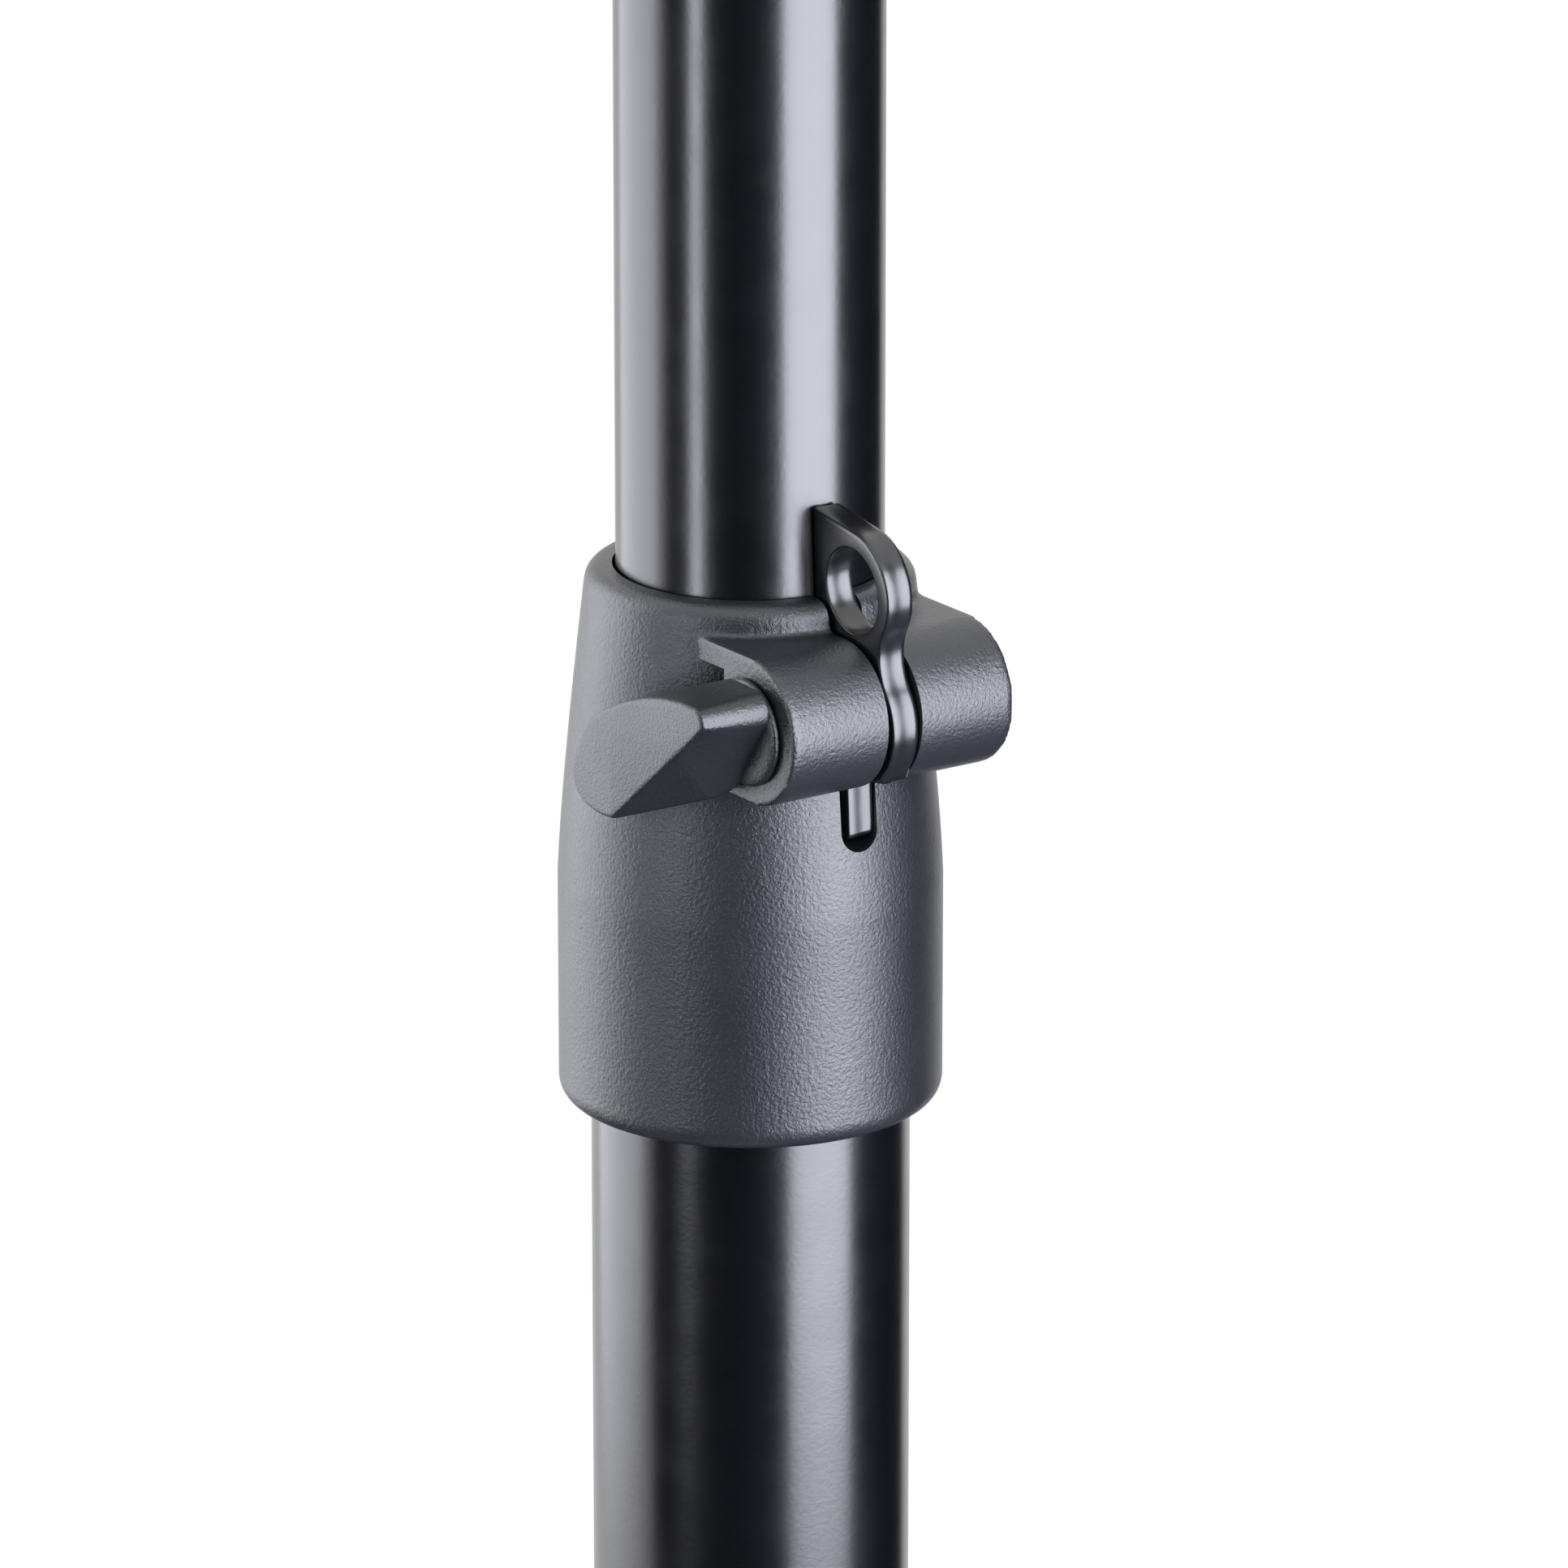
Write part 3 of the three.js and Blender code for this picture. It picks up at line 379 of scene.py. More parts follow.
plug = turned([
    (stud_way, plug_foot), (lower_tube_radius, plug_foot), (lower_tube_radius, plug_flange_top),
    (plug_radius, plug_flange_top), (plug_radius, plug_top), (stud_way, plug_top),
])
plug_drill = round_bar(base_rivet_hole, plug_hole_end, drill_out)
plug = worked(
    rings_at(ease_edges(plug, 0.5), 20.5, 27.5),
    cuts=[laid(plug_drill.copy(), z=base_rivet_height, turn=turn) for turn in (0, 180)],
)
fitted("base_plug_turned", plug, turned_aluminium, "lower_pole", "plug_aluminium", "base_plug")

# Bright zinc plate on steel: pale grey metal with a soft mottle of 2.5 mm.
zinc_plate, tree, surface, place = finish_named("steel, bright zinc plate")
surface.inputs["Metallic"].default_value = 1
mottle = add(tree, "TexNoise", {"Vector": place, "Scale": 1 / 0.0025, "Detail": 4, "Roughness": 0.65})
tint = add(tree, "MixRGB", {0: mottle.outputs["Fac"], 1: colour("#9ea2a8"), 2: colour("#c2c5c8")})
tree.links.new(tint.outputs[0], surface.inputs["Base Color"])
plated = {"Value": mottle.outputs["Fac"], "From Min": 0.3, "From Max": 0.7, "To Min": 0.28, "To Max": 0.42}
gloss = add(tree, "MapRange", plated)
tree.links.new(gloss.outputs["Result"], surface.inputs["Roughness"])
pits = add(tree, "Bump", {"Height": mottle.outputs["Fac"], "Strength": 0.3, "Distance": 0.00002})
tree.links.new(pits.outputs[0], surface.inputs["Normal"])


def threaded_bar(radius, pitch, low, high, point, steps=48):
    """One pitch of thread spun up the bar as a helix, cut level at both ends and pointed there."""
    bm = bmesh.new()
    root = radius - 0.54 * pitch
    thread = ((root, 0), (root, 0.1), (radius, 0.48), (radius, 0.62), (root, 1))
    corners = [bm.verts.new((out, 0, low - pitch * (1.5 - share))) for out, share in thread]
    edges = [bm.edges.new(pair) for pair in zip(corners, corners[1:])]
    turns = ceil((high - low) / pitch) + 3
    bmesh.ops.spin(
        bm, geom=corners + edges, cent=(0, 0, 0), axis=(0, 0, 1), dvec=(0, 0, pitch / steps),
        angle=2 * pi * turns, steps=steps * turns, use_merge=False,
    )
    bmesh.ops.remove_doubles(bm, verts=bm.verts, dist=0.001)
    for height, side in ((low, -1), (high, 1)):
        rings_at(bm, height - side * point)
        everything = bm.verts[:] + bm.edges[:] + bm.faces[:]
        bmesh.ops.bisect_plane(
            bm, geom=everything, dist=0.0001, plane_co=(0, 0, height), plane_no=(0, 0, side),
            clear_outer=True,
        )
    bmesh.ops.holes_fill(bm, edges=[e for e in bm.edges if e.is_boundary], sides=0)
    for vert in bm.verts:
        allowed = radius - point + min(vert.co.z - low, high - vert.co.z)
        out = hypot(vert.co.x, vert.co.y)
        if out > allowed:
            vert.co.xy *= allowed / out
    bmesh.ops.recalc_face_normals(bm, faces=bm.faces)
    return bm


stud = threaded_bar(stud_radius, stud_pitch, stud_foot, stud_top, stud_point)
fitted("base_stud_threaded", stud, zinc_plate, "lower_pole", "zinc_steel", "base_stud", crease=25)


def hex_nut(across_flats, low, high, bore_radius):
    """A nut along the pole's axis with turned corners and a countersunk bore, its corners on the Y axis."""
    corner = across_flats / sqrt(3)
    chamfer = 0.7 * (corner - across_flats / 2)
    blank = bmesh.new()
    middle = Matrix.Translation((0, 0, (low + high) / 2)) @ Matrix.Rotation(radians(30), 4, "Z")
    bmesh.ops.create_cone(
        blank, cap_ends=True, segments=6, radius1=corner, radius2=corner, depth=high - low, matrix=middle,
    )
    face = 0.96 * across_flats / 2
    rim = corner + 0.01
    barrel = turned([
        (0, low), (face, low), (rim, low + chamfer), (rim, high - chamfer), (face, high), (0, high),
    ], 96, closed=False)
    sink = 0.12 * bore_radius
    mouth = bore_radius + sink
    bore = turned([
        (0, low - 1), (mouth, low - 1), (mouth, low), (bore_radius, low + sink),
        (bore_radius, high - sink), (mouth, high), (mouth, high + 1), (0, high + 1),
    ], 64, closed=False)
    return ease_edges(worked(blank, cuts=[bore], keeps=[barrel]), 0.08, segments=1)


lock_nut = hex_nut(30, 40.6, 50.6, stud_way)
fitted("stud_lock_nut_plated", lock_nut, zinc_plate, "lower_pole", "zinc_steel", "stud_lock_nut")

# Punched rubber sheet: matt black with dust and specks of 0.6 mm.
washer_rubber, tree, surface, place = finish_named("rubber sheet, punched")
surface.inputs["Roughness"].default_value = 0.85
specks = add(tree, "TexNoise", {"Vector": place, "Scale": 1 / 0.0006, "Detail": 4})
tint = add(tree, "MixRGB", {0: specks.outputs["Fac"], 1: colour("#121212"), 2: colour("#2a2a2b")})
tree.links.new(tint.outputs[0], surface.inputs["Base Color"])
nap = add(tree, "Bump", {"Height": specks.outputs["Fac"], "Strength": 0.5, "Distance": 0.00004})
tree.links.new(nap.outputs[0], surface.inputs["Normal"])
seat_radius, seat_top = 20.4, 2
seat = turned([(stud_way, 0), (seat_radius, 0), (seat_radius, seat_top), (stud_way, seat_top)])
seat = ease_edges(seat, 0.2)
fitted("seat_washer_rubber", seat, washer_rubber, "lower_pole", "washer_rubber", "seat_washer")


def arc(middle, radius, start, end, steps):
    """Points on an arc, angles in degrees."""
    angles = [radians(start + (end - start) * i / steps) for i in range(steps + 1)]
    return [(middle[0] + radius * cos(angle), middle[1] + radius * sin(angle)) for angle in angles]


# Domed rivet heads stand on the tube, and their shanks end inside the plug.
rivet_head_radius, rivet_head_height = 3.5, 1.3
rivet_top = 22.6
dome_radius = (rivet_head_radius ** 2 + rivet_head_height ** 2) / (2 * rivet_head_height)
dome_half = 90 - degrees(atan2(dome_radius - rivet_head_height, rivet_head_radius))
dome = arc((0, rivet_top - dome_radius), dome_radius, 90 - dome_half, 90, 10)[:-1]
shank = [(0, 13), (1.6, 13), (2, 13.4), (2, 21.3), (3.4, 21.3)]
for side, turn in (("left", 180), ("right", 0)):
    rivet = laid(turned(shank + dome + [(0, rivet_top)], 48, closed=False), z=base_rivet_height, turn=turn)
    fitted("base_rivet_head_" + side, rivet, zinc_plate, "lower_pole", "zinc_steel", "base_rivet_" + side)


# ---- Clamp collar ----
# One injection moulding of glass-filled nylon: a round sleeve that tapers to a neck, slit in front,
# with two ears that form a boss across the slit. Its mould was spark eroded, which leaves a fine matt grain.
collar_foot, collar_top = 560, 632.7
collar_radius = 25.25
neck_radius = 21.6
knee = (24.8, 42.3)
taper_start = 30.3
shoulder_rounding = 2.4
shoulder_height = collar_top - collar_foot - shoulder_rounding
rim_rounding = 2.6
bolt = (-25, 619)
boss_radius = 9.8
boss_end = 17.25
ears_back = -12
slit_left, slit_right = -2.5, 2.8
slot_middle, slot_half = 0.33, 2.83
slit_foot = 599.5
skin_voxel = 0.42
skin_wave = 0.2


def taper():
    """The sleeve's outline between its straight wall and its shoulder, as (radius, height above the rim)."""
    start, end = Vector((collar_radius, taper_start, 0)), Vector((neck_radius, shoulder_height, 0))
    bend = Vector((*knee, 0))
    curve = geometry.interpolate_bezier(start, start.lerp(bend, 2 / 3), end.lerp(bend, 2 / 3), end, 33)
    return [(p.x, p.y) for p in curve]


sleeve_outline = (
    [(0, 0)]
    + arc((collar_radius - rim_rounding, rim_rounding), rim_rounding, -90, 0, 12)
    + taper()
    + arc((neck_radius - shoulder_rounding, shoulder_height), shoulder_rounding, 0, 90, 12)[1:]
    + [(0, collar_top - collar_foot)]
)


def solid_sleeve():
    """The sleeve in its place, before it is bored."""
    bm = turned(sleeve_outline, 256, closed=False)
    bmesh.ops.translate(bm, vec=(0, 0, collar_foot), verts=bm.verts)
    return bm


def across(outline, start, end):
    """An outline in Y and Z run along X."""
    bm = bmesh.new()
    face = bm.faces.new([bm.verts.new((start, y, z)) for y, z in outline])
    run = bmesh.ops.extrude_face_region(bm, geom=[face])
    moved = [v for v in run["geom"] if isinstance(v, bmesh.types.BMVert)]
    bmesh.ops.translate(bm, vec=(end - start, 0, 0), verts=moved)
    bmesh.ops.recalc_face_normals(bm, faces=bm.faces)
    return bm


def evened(bm, times):
    """Smooths a voxel mesh, which rounds its inner corners as a mould's are."""
    for _ in range(times):
        bmesh.ops.smooth_vert(bm, verts=bm.verts, factor=0.5, use_axis_x=True, use_axis_y=True, use_axis_z=True)
    return bm


boss_foot, boss_top = bolt[1] - boss_radius, bolt[1] + boss_radius
ears_outline = [(ears_back, boss_foot)] + arc(bolt, boss_radius, 270, 90, 64) + [(ears_back, boss_top)]
ears = across(ears_outline, -boss_end, boss_end)
collar = evened(worked(solid_sleeve(), joins=[ears], voxel=skin_voxel), 5)


def sleeve_radius(height):
    """The sleeve's radius at a height above its rim, between the rim's rounding and the shoulder's."""
    if height <= taper_start:
        return collar_radius
    rise = knee[1] - taper_start
    bend = taper_start - 2 * knee[1] + shoulder_height
    t = (height - taper_start) / (rise + sqrt(rise ** 2 + bend * (height - taper_start)))
    return (1 - t) ** 2 * collar_radius + 2 * t * (1 - t) * knee[0] + t ** 2 * neck_radius


# The moulded skin is made true where the voxels left it wavy: on the sleeve and the boss.
collar.normal_update()
for vert in collar.verts:
    x, y, z = vert.co
    out = hypot(x, y)
    facing = (vert.normal.x * x + vert.normal.y * y) / max(out, 1)
    height = z - collar_foot
    if rim_rounding < height < shoulder_height and facing > 0.93:
        true_radius = sleeve_radius(height)
        if abs(out - true_radius) < skin_wave:
            vert.co.xy *= true_radius / out
    from_bolt = hypot(y - bolt[0], z - bolt[1])
    if abs(x) < boss_end - 1 and y < bolt[0] and abs(from_bolt - boss_radius) < skin_wave:
        vert.co.yz = Vector(bolt) + (vert.co.yz - Vector(bolt)) * boss_radius / from_bolt

# Then the steel cores of the mould: bores, slit, the left ear's recess and notch, screw holes and nut pocket.
socket_radius, socket_top = 21.3, 597.1
bush_radius, bush_top = 19.3, 627.3
lip_radius = 17.95
core_foot, core_top, core_front = 550, 640, -60
bores = turned([
    (0, core_foot), (socket_radius, core_foot), (socket_radius, socket_top), (bush_radius, socket_top),
    (bush_radius, bush_top), (lip_radius, bush_top), (lip_radius, core_top), (0, core_top),
], closed=False)
slit_outline = [(core_front, boss_foot), (0, boss_foot), (0, core_top), (core_front, core_top)]
slit = across(slit_outline, slit_left, slit_right)
slot_end_height = slit_foot + slot_half
slot_top = 610
slot_outline = [(core_front, slot_end_height), (0, slot_end_height), (0, slot_top), (core_front, slot_top)]
slot = across(slot_outline, slot_middle - slot_half, slot_middle + slot_half)
slot_end = round_bar(slot_half, core_front, 0, 64)
forwards = Matrix.Translation((slot_middle, 0, slot_end_height)) @ Matrix.Rotation(radians(-90), 4, "X")
bmesh.ops.transform(slot_end, matrix=forwards, verts=slot_end.verts)


def brick(low, high):
    """A block between two corners."""
    low, high = Vector(low), Vector(high)
    bm = bmesh.new()
    place = Matrix.Translation((low + high) / 2) @ Matrix.Diagonal((*(high - low), 1))
    bmesh.ops.create_cube(bm, size=1, matrix=place)
    return bm


recess_floor = -12.25
notch_front = -19.2
under_lip, hood = 611.7, 625.9
notch = worked(brick((-25, notch_front, under_lip), (recess_floor, 0, hood)), cuts=[solid_sleeve()])
recess = laid(round_bar(6.5, -25, recess_floor, 96), *bolt)
bolt_hole_radius = 3.3
screw_way = laid(round_bar(bolt_hole_radius, -30, 30), *bolt)
pocket_flats, pocket_floor = 10.6, 10.65
pocket_corner = pocket_flats / sqrt(3)
nut_pocket = bmesh.new()
bmesh.ops.create_cone(
    nut_pocket, cap_ends=True, segments=6, radius1=pocket_corner, radius2=pocket_corner, depth=20,
    matrix=Matrix.Translation((0, 0, pocket_floor + 10)) @ Matrix.Rotation(radians(30), 4, "Z"),
)
laid(nut_pocket, *bolt)
head_pocket_radius, head_pocket_floor, pocket_mouth = 3.7, 23.05, 30
screw_pocket = turned([
    (0, drill_in), (collar_screw_hole, drill_in), (collar_screw_hole, head_pocket_floor),
    (head_pocket_radius, head_pocket_floor), (head_pocket_radius, pocket_mouth), (0, pocket_mouth),
], 48, closed=False)
screw_pockets = [
    laid(screw_pocket.copy(), z=collar_screw_height, turn=turn) for turn in collar_screw_turns.values()
]
cores = [bores, slit, slot, slot_end, notch, recess, screw_way, nut_pocket] + screw_pockets


def sealed(bm):
    """Welds and fills the hairline cracks that cutting leaves, so that the mesh is closed."""
    bmesh.ops.remove_doubles(bm, verts=bm.verts, dist=0.01)
    bmesh.ops.dissolve_degenerate(bm, dist=0.01, edges=bm.edges)
    bmesh.ops.delete(bm, geom=[e for e in bm.edges if e.is_wire], context="EDGES")
    bmesh.ops.holes_fill(bm, edges=[e for e in bm.edges if e.is_boundary], sides=0)
    return bm


collar = sealed(worked(collar, cuts=cores))

# Glass-filled nylon: charcoal with a blue cast and a low, grainy sheen. The real grain is about 0.1 mm,
# and it is drawn at 0.5 mm so that it shows.
eroded_nylon, tree, surface, place = finish_named("glass-filled nylon, spark-eroded mould")
surface.inputs["IOR"].default_value = 1.56
surface.inputs["Specular IOR Level"].default_value = 1.0
grain = add(tree, "TexNoise", {"Vector": place, "Scale": 1 / 0.0005, "Detail": 3, "Roughness": 0.65})
cloud = add(tree, "TexNoise", {"Vector": place, "Scale": 1 / 0.012, "Detail": 2})
tint = add(tree, "MixRGB", {0: grain.outputs["Fac"], 1: colour("#181a1f"), 2: colour("#282a31")})
tree.links.new(tint.outputs[0], surface.inputs["Base Color"])
sheen = {"Value": cloud.outputs["Fac"], "From Min": 0.3, "From Max": 0.7, "To Min": 0.33, "To Max": 0.37}
gloss = add(tree, "MapRange", sheen)
tree.links.new(gloss.outputs["Result"], surface.inputs["Roughness"])
erosion = add(tree, "Bump", {"Height": grain.outputs["Fac"], "Strength": 1.0, "Distance": 0.00012})
tree.links.new(erosion.outputs[0], surface.inputs["Normal"])
fitted("clamp_collar_moulded", collar, eroded_nylon, "lower_pole", "collar_nylon", "clamp_collar", crease=40)


# ---- Collar screws ----
# Two self-tapping steel screws at the back hold the collar on the lower tube. Their plain shanks end inside
# the tube's wall, and their pan heads sit in the collar's pockets and have a cross recess.
shank_end, shank_radius = 19.8, 1.9
pan_foot, pan_radius, pan_edge = 23.35, 3.4, 23.9
pan_top = 24.95
recess_foot, recess_long, recess_wide = 24.05, 1.6, 0.4
pan_profile = (
    [(0, shank_end), (1.5, shank_end), (shank_radius, 20.3), (shank_radius, pan_foot)]
    + [(pan_radius, pan_foot), (pan_radius, pan_edge)]
    + arc((0, 19.6), 5.35, 51, 90, 8)[:-1]
    + [(0, pan_top)]
)
for side, turn in collar_screw_turns.items():
    head = turned(pan_profile, 64, closed=False)
    bmesh.ops.transform(head, matrix=along_x, verts=head.verts)
    arms = (recess_long, recess_wide), (recess_wide, recess_long)
    cross = [brick((recess_foot, -y, -z), (26, y, z)) for y, z in arms]
    screw = worked(head, cuts=cross)
    way = Matrix.Rotation(radians(turn), 4, "Z") @ Matrix.Translation((0, 0, collar_screw_height))
    bmesh.ops.transform(screw, matrix=way, verts=screw.verts)
    fitted("collar_screw_head_" + side, screw, zinc_plate, "lower_pole", "zinc_steel", "collar_screw_" + side)


# ---- Split bush in the collar, guide bush ----
# Both are moulded in natural acetal and run on the upper tube: one grips it in the collar, and one guides
# its lower end. They keep their CAD shapes. The acetal is off-white, smooth and slightly waxy.
natural_acetal, tree, surface, place = finish_named("natural acetal, moulded")
surface.inputs["Roughness"].default_value = 0.38
surface.inputs["IOR"].default_value = 1.48
haze = add(tree, "TexNoise", {"Vector": place, "Scale": 1 / 0.008, "Detail": 3})
tint = add(tree, "MixRGB", {0: haze.outputs["Fac"], 1: colour("#cfccc0"), 2: colour("#dcdace")})
tree.links.new(tint.outputs[0], surface.inputs["Base Color"])
wave = add(tree, "Bump", {"Height": haze.outputs["Fac"], "Strength": 0.3, "Distance": 0.00005})
tree.links.new(wave.outputs[0], surface.inputs["Normal"])
for node in ("clamp_liner", "guide_bush"):
    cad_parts[node].data.materials.clear()
    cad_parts[node].data.materials.append(natural_acetal)


# ---- Clamp nut ----
# A zinc plated steel nut, 10 mm across its flats. It is pushed into the hexagonal pocket of the right ear,
# which keeps it from turning.
clamp_nut = laid(hex_nut(10, 10.95, 15.95, bolt_hole_radius), *bolt)
fitted("clamp_nut_plated", clamp_nut, zinc_plate, "lower_pole", "zinc_steel", "clamp_nut")


# ---- Safety eyelet ----
# A plate of glossy black acetal that stands in the slit. The clamp screw holds its lower ring, the upper ring
# is free for a safety cord, and its tail lies in the slot. Its rim swells on both sides of a fine mould groove.
eyelet_left, eyelet_right = -1.57, 2.54
eyelet_lean = -2.2
eye = (-26.1, 635.44)
eye_radius, eye_ring = 5.7, 8
screw_ring_middle = (-25.19, 618.18)
screw_ring, screw_ring_end = 9.32, 220
waist_radius = 7.44
plate_back, plate_top = -17.8, 644.73
tail_end, tail_front = 600.95, -23.7
foot_chamfer, foot_chamfer_turn = 1.6, 75


def plate_outline():
    """Eye ring above with a straight top edge to the back, screw ring below and tail in the slot."""
    apart = hypot(eye[0] - screw_ring_middle[0], eye[1] - screw_ring_middle[1])
    to_eye, to_screw = eye_ring + waist_radius, screw_ring + waist_radius
    along = (to_eye ** 2 - to_screw ** 2 + apart ** 2) / (2 * apart)
    aside = sqrt(to_eye ** 2 - along ** 2)
    down = (Vector(screw_ring_middle) - Vector(eye)) / apart
    waist = (eye[0] + down.x * along + down.y * aside, eye[1] + down.y * along - down.x * aside)
    back = Vector((plate_back - eye[0], plate_top - eye[1]))
    eye_start = degrees(atan2(back.y, back.x) + acos(eye_ring / back.length))
    eye_end = degrees(atan2(waist[1] - eye[1], waist[0] - eye[0])) % 360
    screw_start = degrees(atan2(waist[1] - screw_ring_middle[1], waist[0] - screw_ring_middle[0])) % 360
    corner = Vector(arc(screw_ring_middle, screw_ring, screw_ring_end, screw_ring_end, 1)[0])
    chamfer_turn = radians(screw_ring_end + foot_chamfer_turn)
    chamfered = corner + Vector((cos(chamfer_turn), sin(chamfer_turn))) * foot_chamfer
    foot = boss_foot + 0.3
    points = [(plate_back, tail_end), (plate_back, plate_top - 0.3), (plate_back - 0.3, plate_top)]
    points += arc(eye, eye_ring, eye_start, eye_end, 60)
    points += arc(waist, waist_radius, eye_end + 180, screw_start + 180, 24)[1:]
    points += arc(screw_ring_middle, screw_ring, screw_start, screw_ring_end, 30)[1:]
    # The tail's long front has close corners at both ends, so that smooth shading doesn't tilt it.
    points += [tuple(chamfered), (tail_front - 1, foot), (tail_front - 0.3, foot)]
    points += [(tail_front, foot - 0.4), (tail_front, foot - 0.8), (tail_front, tail_end + 0.9)]
    points += [(tail_front, tail_end + 0.5), (tail_front + 0.5, tail_end), (tail_front + 1, tail_end)]
    return points


def drawn_in(outline, depth):
    """An outline moved to its own left by a depth, which is into the plate for the rim and for the holes."""
    moved = []
    for i, point in enumerate(outline):
        here, before, after = Vector(point), Vector(outline[i - 1]), Vector(outline[(i + 1) % len(outline)])
        first, second = (here - before).normalized(), (after - here).normalized()
        inward = Vector((-first.y - second.y, first.x + second.x))
        inward.normalize()
        stretch = 1 / max(0.5, inward.dot(Vector((-first.y, first.x))))
        moved.append(here + inward * depth * stretch)
    return moved


def rim_plate(rims, left, right):
    """A plate along X from outlines, each with its rim's section: (share of the thickness, depth inwards)."""
    bm = bmesh.new()
    sides = [], []
    for outline, section in rims:
        loops = []
        for share, depth in section:
            x = left + share * (right - left)
            verts = [bm.verts.new((x, p[0], p[1])) for p in drawn_in(outline, depth)]
            loops.append([bm.edges.new(pair) for pair in zip(verts, verts[1:] + verts[:1])])
        sides[0].extend(loops[0])
        sides[1].extend(loops[-1])
        for first, second in zip(loops, loops[1:]):
            bmesh.ops.bridge_loops(bm, edges=first + second)
    for edges in sides:
        bmesh.ops.triangle_fill(bm, use_beauty=True, edges=edges)
    bmesh.ops.recalc_face_normals(bm, faces=bm.faces)
    return bm


# The rim's section from left to right: a swell near the left side, a shallow hollow past the middle,
# and a lower swell before the right side.
swell = [
    (0.1, 0.03), (0.14, 0.015), (0.2, 0.014), (0.26, 0.024), (0.32, 0.042), (0.38, 0.065), (0.44, 0.088),
    (0.5, 0.105), (0.56, 0.115), (0.62, 0.118), (0.68, 0.115), (0.74, 0.108), (0.8, 0.1), (0.85, 0.1),
]
rim_section = (
    [(0, 0.6), (0.004, 0.28), (0.014, 0.19), (0.03, 0.12), (0.06, 0.07)]
    + swell
    + [(0.89, 0.12), (0.925, 0.16), (0.96, 0.22), (0.986, 0.3), (0.996, 0.4), (1, 0.6)]
)
hole_section = (
    [(0, 0.3), (0.004, 0.14), (0.018, 0.07), (0.05, 0.035)]
    + swell
    + [(0.93, 0.12), (0.97, 0.16), (0.996, 0.24), (1, 0.3)]
)
eye_hole = arc(eye, eye_radius, 360, 0, 72)[:-1]
bolt_hole = arc(bolt, bolt_hole_radius, 360, 0, 48)[:-1]
rims = [(plate_outline(), rim_section), (eye_hole, hole_section), (bolt_hole, hole_section)]
eyelet = rim_plate(rims, eyelet_left, eyelet_right)
lean = Matrix.Rotation(radians(eyelet_lean), 3, "Y")
bmesh.ops.rotate(eyelet, cent=(0, *bolt), matrix=lean, verts=eyelet.verts)

# Glossy acetal: nearly black, with sharp reflections and the faint 1.2 mm ripple of a moulding.
glossy_acetal, tree, surface, place = finish_named("black acetal, polished mould")
surface.inputs["Roughness"].default_value = 0.27
surface.inputs["IOR"].default_value = 1.6
surface.inputs["Specular IOR Level"].default_value = 0.9
ripple = add(tree, "TexNoise", {"Vector": place, "Scale": 1 / 0.0012, "Detail": 3})
tint = add(tree, "MixRGB", {0: ripple.outputs["Fac"], 1: colour("#0b0c10"), 2: colour("#15171c")})
tree.links.new(tint.outputs[0], surface.inputs["Base Color"])
waves = add(tree, "Bump", {"Height": ripple.outputs["Fac"], "Strength": 0.25, "Distance": 0.00003})
tree.links.new(waves.outputs[0], surface.inputs["Normal"])
fitted("safety_eyelet_moulded", eyelet, glossy_acetal, "lower_pole", "eyelet_black", "safety_eyelet", crease=60)


# ---- Clamp knob, its screw and washer ----
# The wing is the same nylon as the collar, moulded over the screw's head. Its stem reaches into the ear's
# recess and presses on a steel washer there. Its outlines are shares of the lever's reach from the bolt.
lever_reach = 26
knob_inner, knob_middle, knob_outer = -18.1, -21, -28.95
knob_rounding = 0.8
knob_crown = 0.0035
ridge_start, ridge_end = ((0.12, 0.142), 0.11), ((0.126, 0.155), 0.066)
arm_start = [
    (-0.05, -0.28), (-0.14, -0.345), (-0.2, -0.34), (-0.27, -0.15), (-0.28, 0.06), (-0.24, 0.2), (-0.1, 0.258),
]
arm_middle = [
    (-0.05, -0.305), (-0.1, -0.345), (-0.2, -0.36), (-0.36, -0.33), (-0.46, -0.22), (-0.46, -0.04),
    (-0.37, 0.1), (-0.25, 0.19), (-0.1, 0.245),
]
knob_leaf = [
    (0.2, 0.135), (-0.55, -0.515), (-0.58, -0.527), (-0.65, -0.531), (-0.735, -0.528), (-0.82, -0.513),
    (-0.885, -0.477), (-0.922, -0.43), (-0.935, -0.365), (-0.92, -0.29), (-0.875, -0.2), (-0.825, -0.11),
    (-0.765, -0.048), (-0.64, 0.033), (-0.515, 0.093), (-0.4, 0.14), (-0.278, 0.177), (-0.155, 0.203),
    (0.008, 0.222),
]
# The wing's lower face is straight along the leaf, and twists and swells on its way to the hub.
leaf_line = 0.83
leaf_end, hub_end = -28.15, -18
hub_drop, hub_twist, twist_middle = 1.07, 0.252, 5.9
swell_power = 1.8
fall = atan2(0.664, 0.748)


def lower_face(x, along):
    """How far below the bolt's axis the wing's lower face lies, at a place along it."""
    way = min(1, max(0, (x - leaf_end) / (hub_end - leaf_end)))
    return leaf_line + (1 - (1 - way) ** swell_power) * (hub_drop + hub_twist * (twist_middle - along))


def on_lower_face(x, along, out):
    """The same place as shares of the lever's reach, a little outside the face."""
    below = lower_face(x, along) + out
    return (
        (along * cos(fall) + below * sin(fall)) / lever_reach,
        (along * sin(fall) - below * cos(fall)) / lever_reach,
    )


def knob_points(bm, shares, x):
    """Points of the wing at one X."""
    for share in shares:
        bm.verts.new((x, bolt[0] - share[0] * lever_reach, bolt[1] + share[1] * lever_reach))


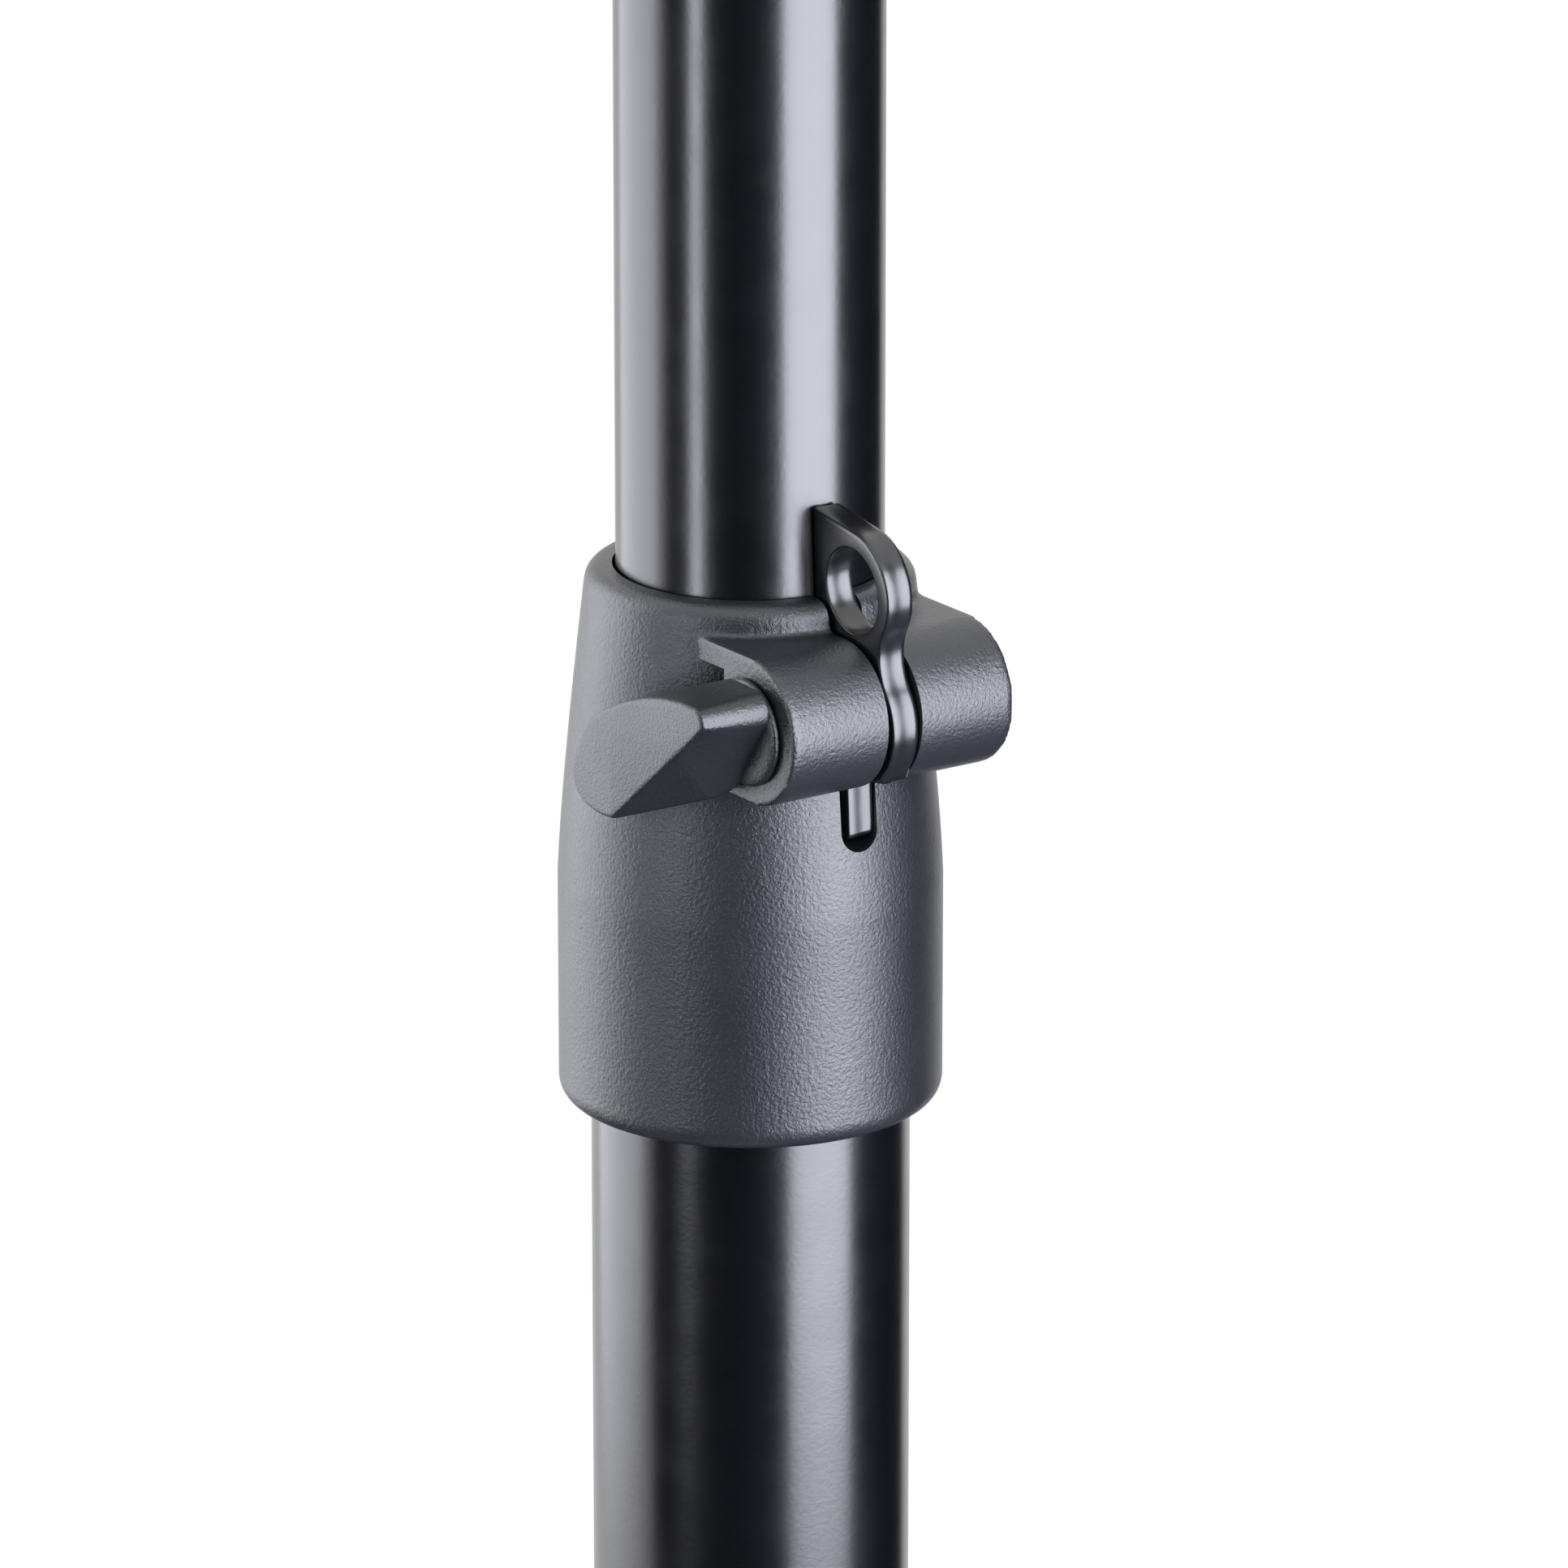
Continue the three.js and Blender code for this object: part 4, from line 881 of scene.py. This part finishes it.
wing = bmesh.new()
hub_side = [on_lower_face(knob_inner, along, 0.3) for along in (0.2, -4.8)]
knob_points(wing, arc(*ridge_start, -34, 100, 10) + hub_side + arm_start, knob_inner)
knob_points(wing, arm_middle, knob_middle)
leaf_edge = knob_leaf + arc(*ridge_end, -45, 90, 8)
knob_points(wing, leaf_edge, knob_outer + knob_rounding)
# The leaf's outer face is crowned: its outline drawn in, each time a little further out.
leaf_middle = sum((Vector(share) for share in knob_leaf), Vector((0, 0))) / len(knob_leaf)
for scale in (0.96, 0.7, 0.4):
    for share in leaf_edge:
        at = leaf_middle + (Vector(share) - leaf_middle) * scale
        knob_points(wing, [at], knob_outer + ((at - leaf_middle).length * lever_reach) ** 2 * knob_crown)
hull = bmesh.ops.convex_hull(wing, input=wing.verts[:])
inside = {v for v in hull["geom_interior"] + hull["geom_unused"] if isinstance(v, bmesh.types.BMVert)}
bmesh.ops.delete(wing, geom=list(inside), context="VERTS")
bmesh.ops.recalc_face_normals(wing, faces=wing.faces)

below_it = brick((-31, -30, 0), (-17, 14, 16))
bmesh.ops.subdivide_edges(below_it, edges=below_it.edges, cuts=24, use_grid_fill=True)
for vert in below_it.verts:
    if vert.co.z < 0.01:
        vert.co.z = lower_face(vert.co.x, vert.co.y)
bmesh.ops.rotate(below_it, cent=(0, 0, 0), matrix=Matrix.Rotation(pi - fall, 3, "X"), verts=below_it.verts)
bmesh.ops.translate(below_it, vec=(0, *bolt), verts=below_it.verts)
wing = evened(worked(worked(wing, cuts=[below_it]), voxel=0.2), 6)

# The hub flares to a flange next to the ear, and the stem goes on from it round the screw.
flare_radius, flare_foot, flare_inner = 2.6, -17.9, 4.4
hub_outer, hub_inner, flare_height = -18.7, -17.65, 0.8
flare = [
    (flare_inner + flare_radius * sin(radians(t)), flare_foot - flare_height * cos(radians(t)))
    for t in range(10, 91, 10)
]
hub_profile = [(0, hub_outer), (flare_inner, hub_outer)] + flare + [(7, hub_inner), (0, hub_inner)]
hub = laid(turned(hub_profile, 96, closed=False), *bolt)
stem_radius, stem_start, stem_end = 5, -18.6, -14.05
stem = laid(ease_edges(round_bar(stem_radius, stem_start, stem_end, 96), 0.3), *bolt)
screw_seat = laid(round_bar(bolt_hole_radius, -16.85, -10), *bolt)
knob = sealed(worked(wing, joins=[hub, stem], cuts=[screw_seat]))

# The knob's nylon is the collar's with a finer grain, worn a little smoother by hands. The real grain is
# about 0.1 mm, and it is drawn at 0.35 mm so that it shows.
knob_nylon, tree, surface, place = finish_named("glass-filled nylon, fine spark-eroded mould")
surface.inputs["IOR"].default_value = 1.53
surface.inputs["Specular IOR Level"].default_value = 0.9
grain = add(tree, "TexNoise", {"Vector": place, "Scale": 1 / 0.00035, "Detail": 3, "Roughness": 0.6})
rubbed = add(tree, "TexNoise", {"Vector": place, "Scale": 1 / 0.009, "Detail": 3})
tint = add(tree, "MixRGB", {0: grain.outputs["Fac"], 1: colour("#14161a"), 2: colour("#24262b")})
tree.links.new(tint.outputs[0], surface.inputs["Base Color"])
worn = {"Value": rubbed.outputs["Fac"], "From Min": 0.3, "From Max": 0.7, "To Min": 0.28, "To Max": 0.34}
gloss = add(tree, "MapRange", worn)
tree.links.new(gloss.outputs["Result"], surface.inputs["Roughness"])
erosion = add(tree, "Bump", {"Height": grain.outputs["Fac"], "Strength": 1.0, "Distance": 0.00009})
tree.links.new(erosion.outputs[0], surface.inputs["Normal"])
fitted("clamp_knob_moulded", knob, knob_nylon, "knob", "knob_nylon", "clamp_knob", crease=50)

screw_radius, screw_pitch, screw_point = 3, 1, 0.6
screw = laid(threaded_bar(screw_radius, screw_pitch, -16.55, 17.55, screw_point, 32), *bolt)
fitted("clamp_screw_threaded", screw, zinc_plate, "knob", "zinc_steel", "clamp_screw", crease=25)
washer_radius, washer_outer, washer_inner = 6, -13.75, -12.55
washer = turned([
    (bolt_hole_radius, washer_outer), (washer_radius, washer_outer),
    (washer_radius, washer_inner), (bolt_hole_radius, washer_inner),
], 96)
washer = laid(ease_edges(washer, 0.15), *bolt)
fitted("clamp_washer_plated", washer, zinc_plate, "screw_washer", "zinc_steel", "clamp_washer")


# ---- Upper tube with its cap ----
# The inner tube is steel with the same satin powder coat as the lower one, drilled near its foot for the
# pins of the stop ring and the end plug. A moulded black polythene cap is pressed into its top.
upper_tube_radius, upper_bore_radius = 17.5, 16
upper_tube_foot, upper_tube_top = 55.4, 762.7
pin_hole = 1.8
pin_heights = (67.1, 118.7)
upper = tube(upper_tube_radius, upper_bore_radius, upper_tube_foot, upper_tube_top)
pin_drill = round_bar(pin_hole, 8, drill_out)
upper = worked(
    rings_at(upper, 63.5, 70.5, 115.5, 122),
    cuts=[laid(pin_drill.copy(), z=z, turn=turn) for z in pin_heights for turn in (0, 180)],
)
fitted("upper_tube_coated", upper, powder_coat, "upper_pole", "tube_black", "upper_tube")

# Black polythene: soft, waxy and nearly matt, with a 1.2 mm mottle in its gloss.
pressed_cap, tree, surface, place = finish_named("black polythene, moulded")
wax = add(tree, "TexNoise", {"Vector": place, "Scale": 1 / 0.0012, "Detail": 3})
tint = add(tree, "MixRGB", {0: wax.outputs["Fac"], 1: colour("#131416"), 2: colour("#1e1f22")})
tree.links.new(tint.outputs[0], surface.inputs["Base Color"])
waxy = {"Value": wax.outputs["Fac"], "From Min": 0.3, "From Max": 0.7, "To Min": 0.45, "To Max": 0.56}
gloss = add(tree, "MapRange", waxy)
tree.links.new(gloss.outputs["Result"], surface.inputs["Roughness"])
skin = add(tree, "Bump", {"Height": wax.outputs["Fac"], "Strength": 0.4, "Distance": 0.00004})
tree.links.new(skin.outputs[0], surface.inputs["Normal"])

cap_foot, cap_rim, cap_top = 747.7, 763, 766
cap_bore, cap_plug, cap_edge = 13.7, 15.7, 1
cap_profile = (
    [(0, cap_rim), (cap_bore, cap_rim), (cap_bore, cap_foot), (cap_plug, cap_foot), (cap_plug, cap_rim)]
    + [(upper_tube_radius, cap_rim)]
    + arc((upper_tube_radius - cap_edge, cap_top - cap_edge), cap_edge, 0, 90, 6)
    + [(0, cap_top)]
)
cap = turned(cap_profile, closed=False)
fitted("top_cap_pressed", cap, pressed_cap, "upper_pole", "cap_black", "top_cap")


# ---- Lower end of the upper tube ----
# A moulded plug closes the tube under the guide bush, and a steel ring above the bush stops the pull-out.
# Steel pins hold both. They sit inside the lower tube and keep their CAD shapes.
for finish, nodes in (
    (pressed_cap, ("end_plug",)),
    (zinc_plate, ("stop_ring", "stop_pin_left", "stop_pin_right", "end_plug_pin_left", "end_plug_pin_right")),
):
    for node in nodes:
        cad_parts[node].data.materials.clear()
        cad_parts[node].data.materials.append(finish)
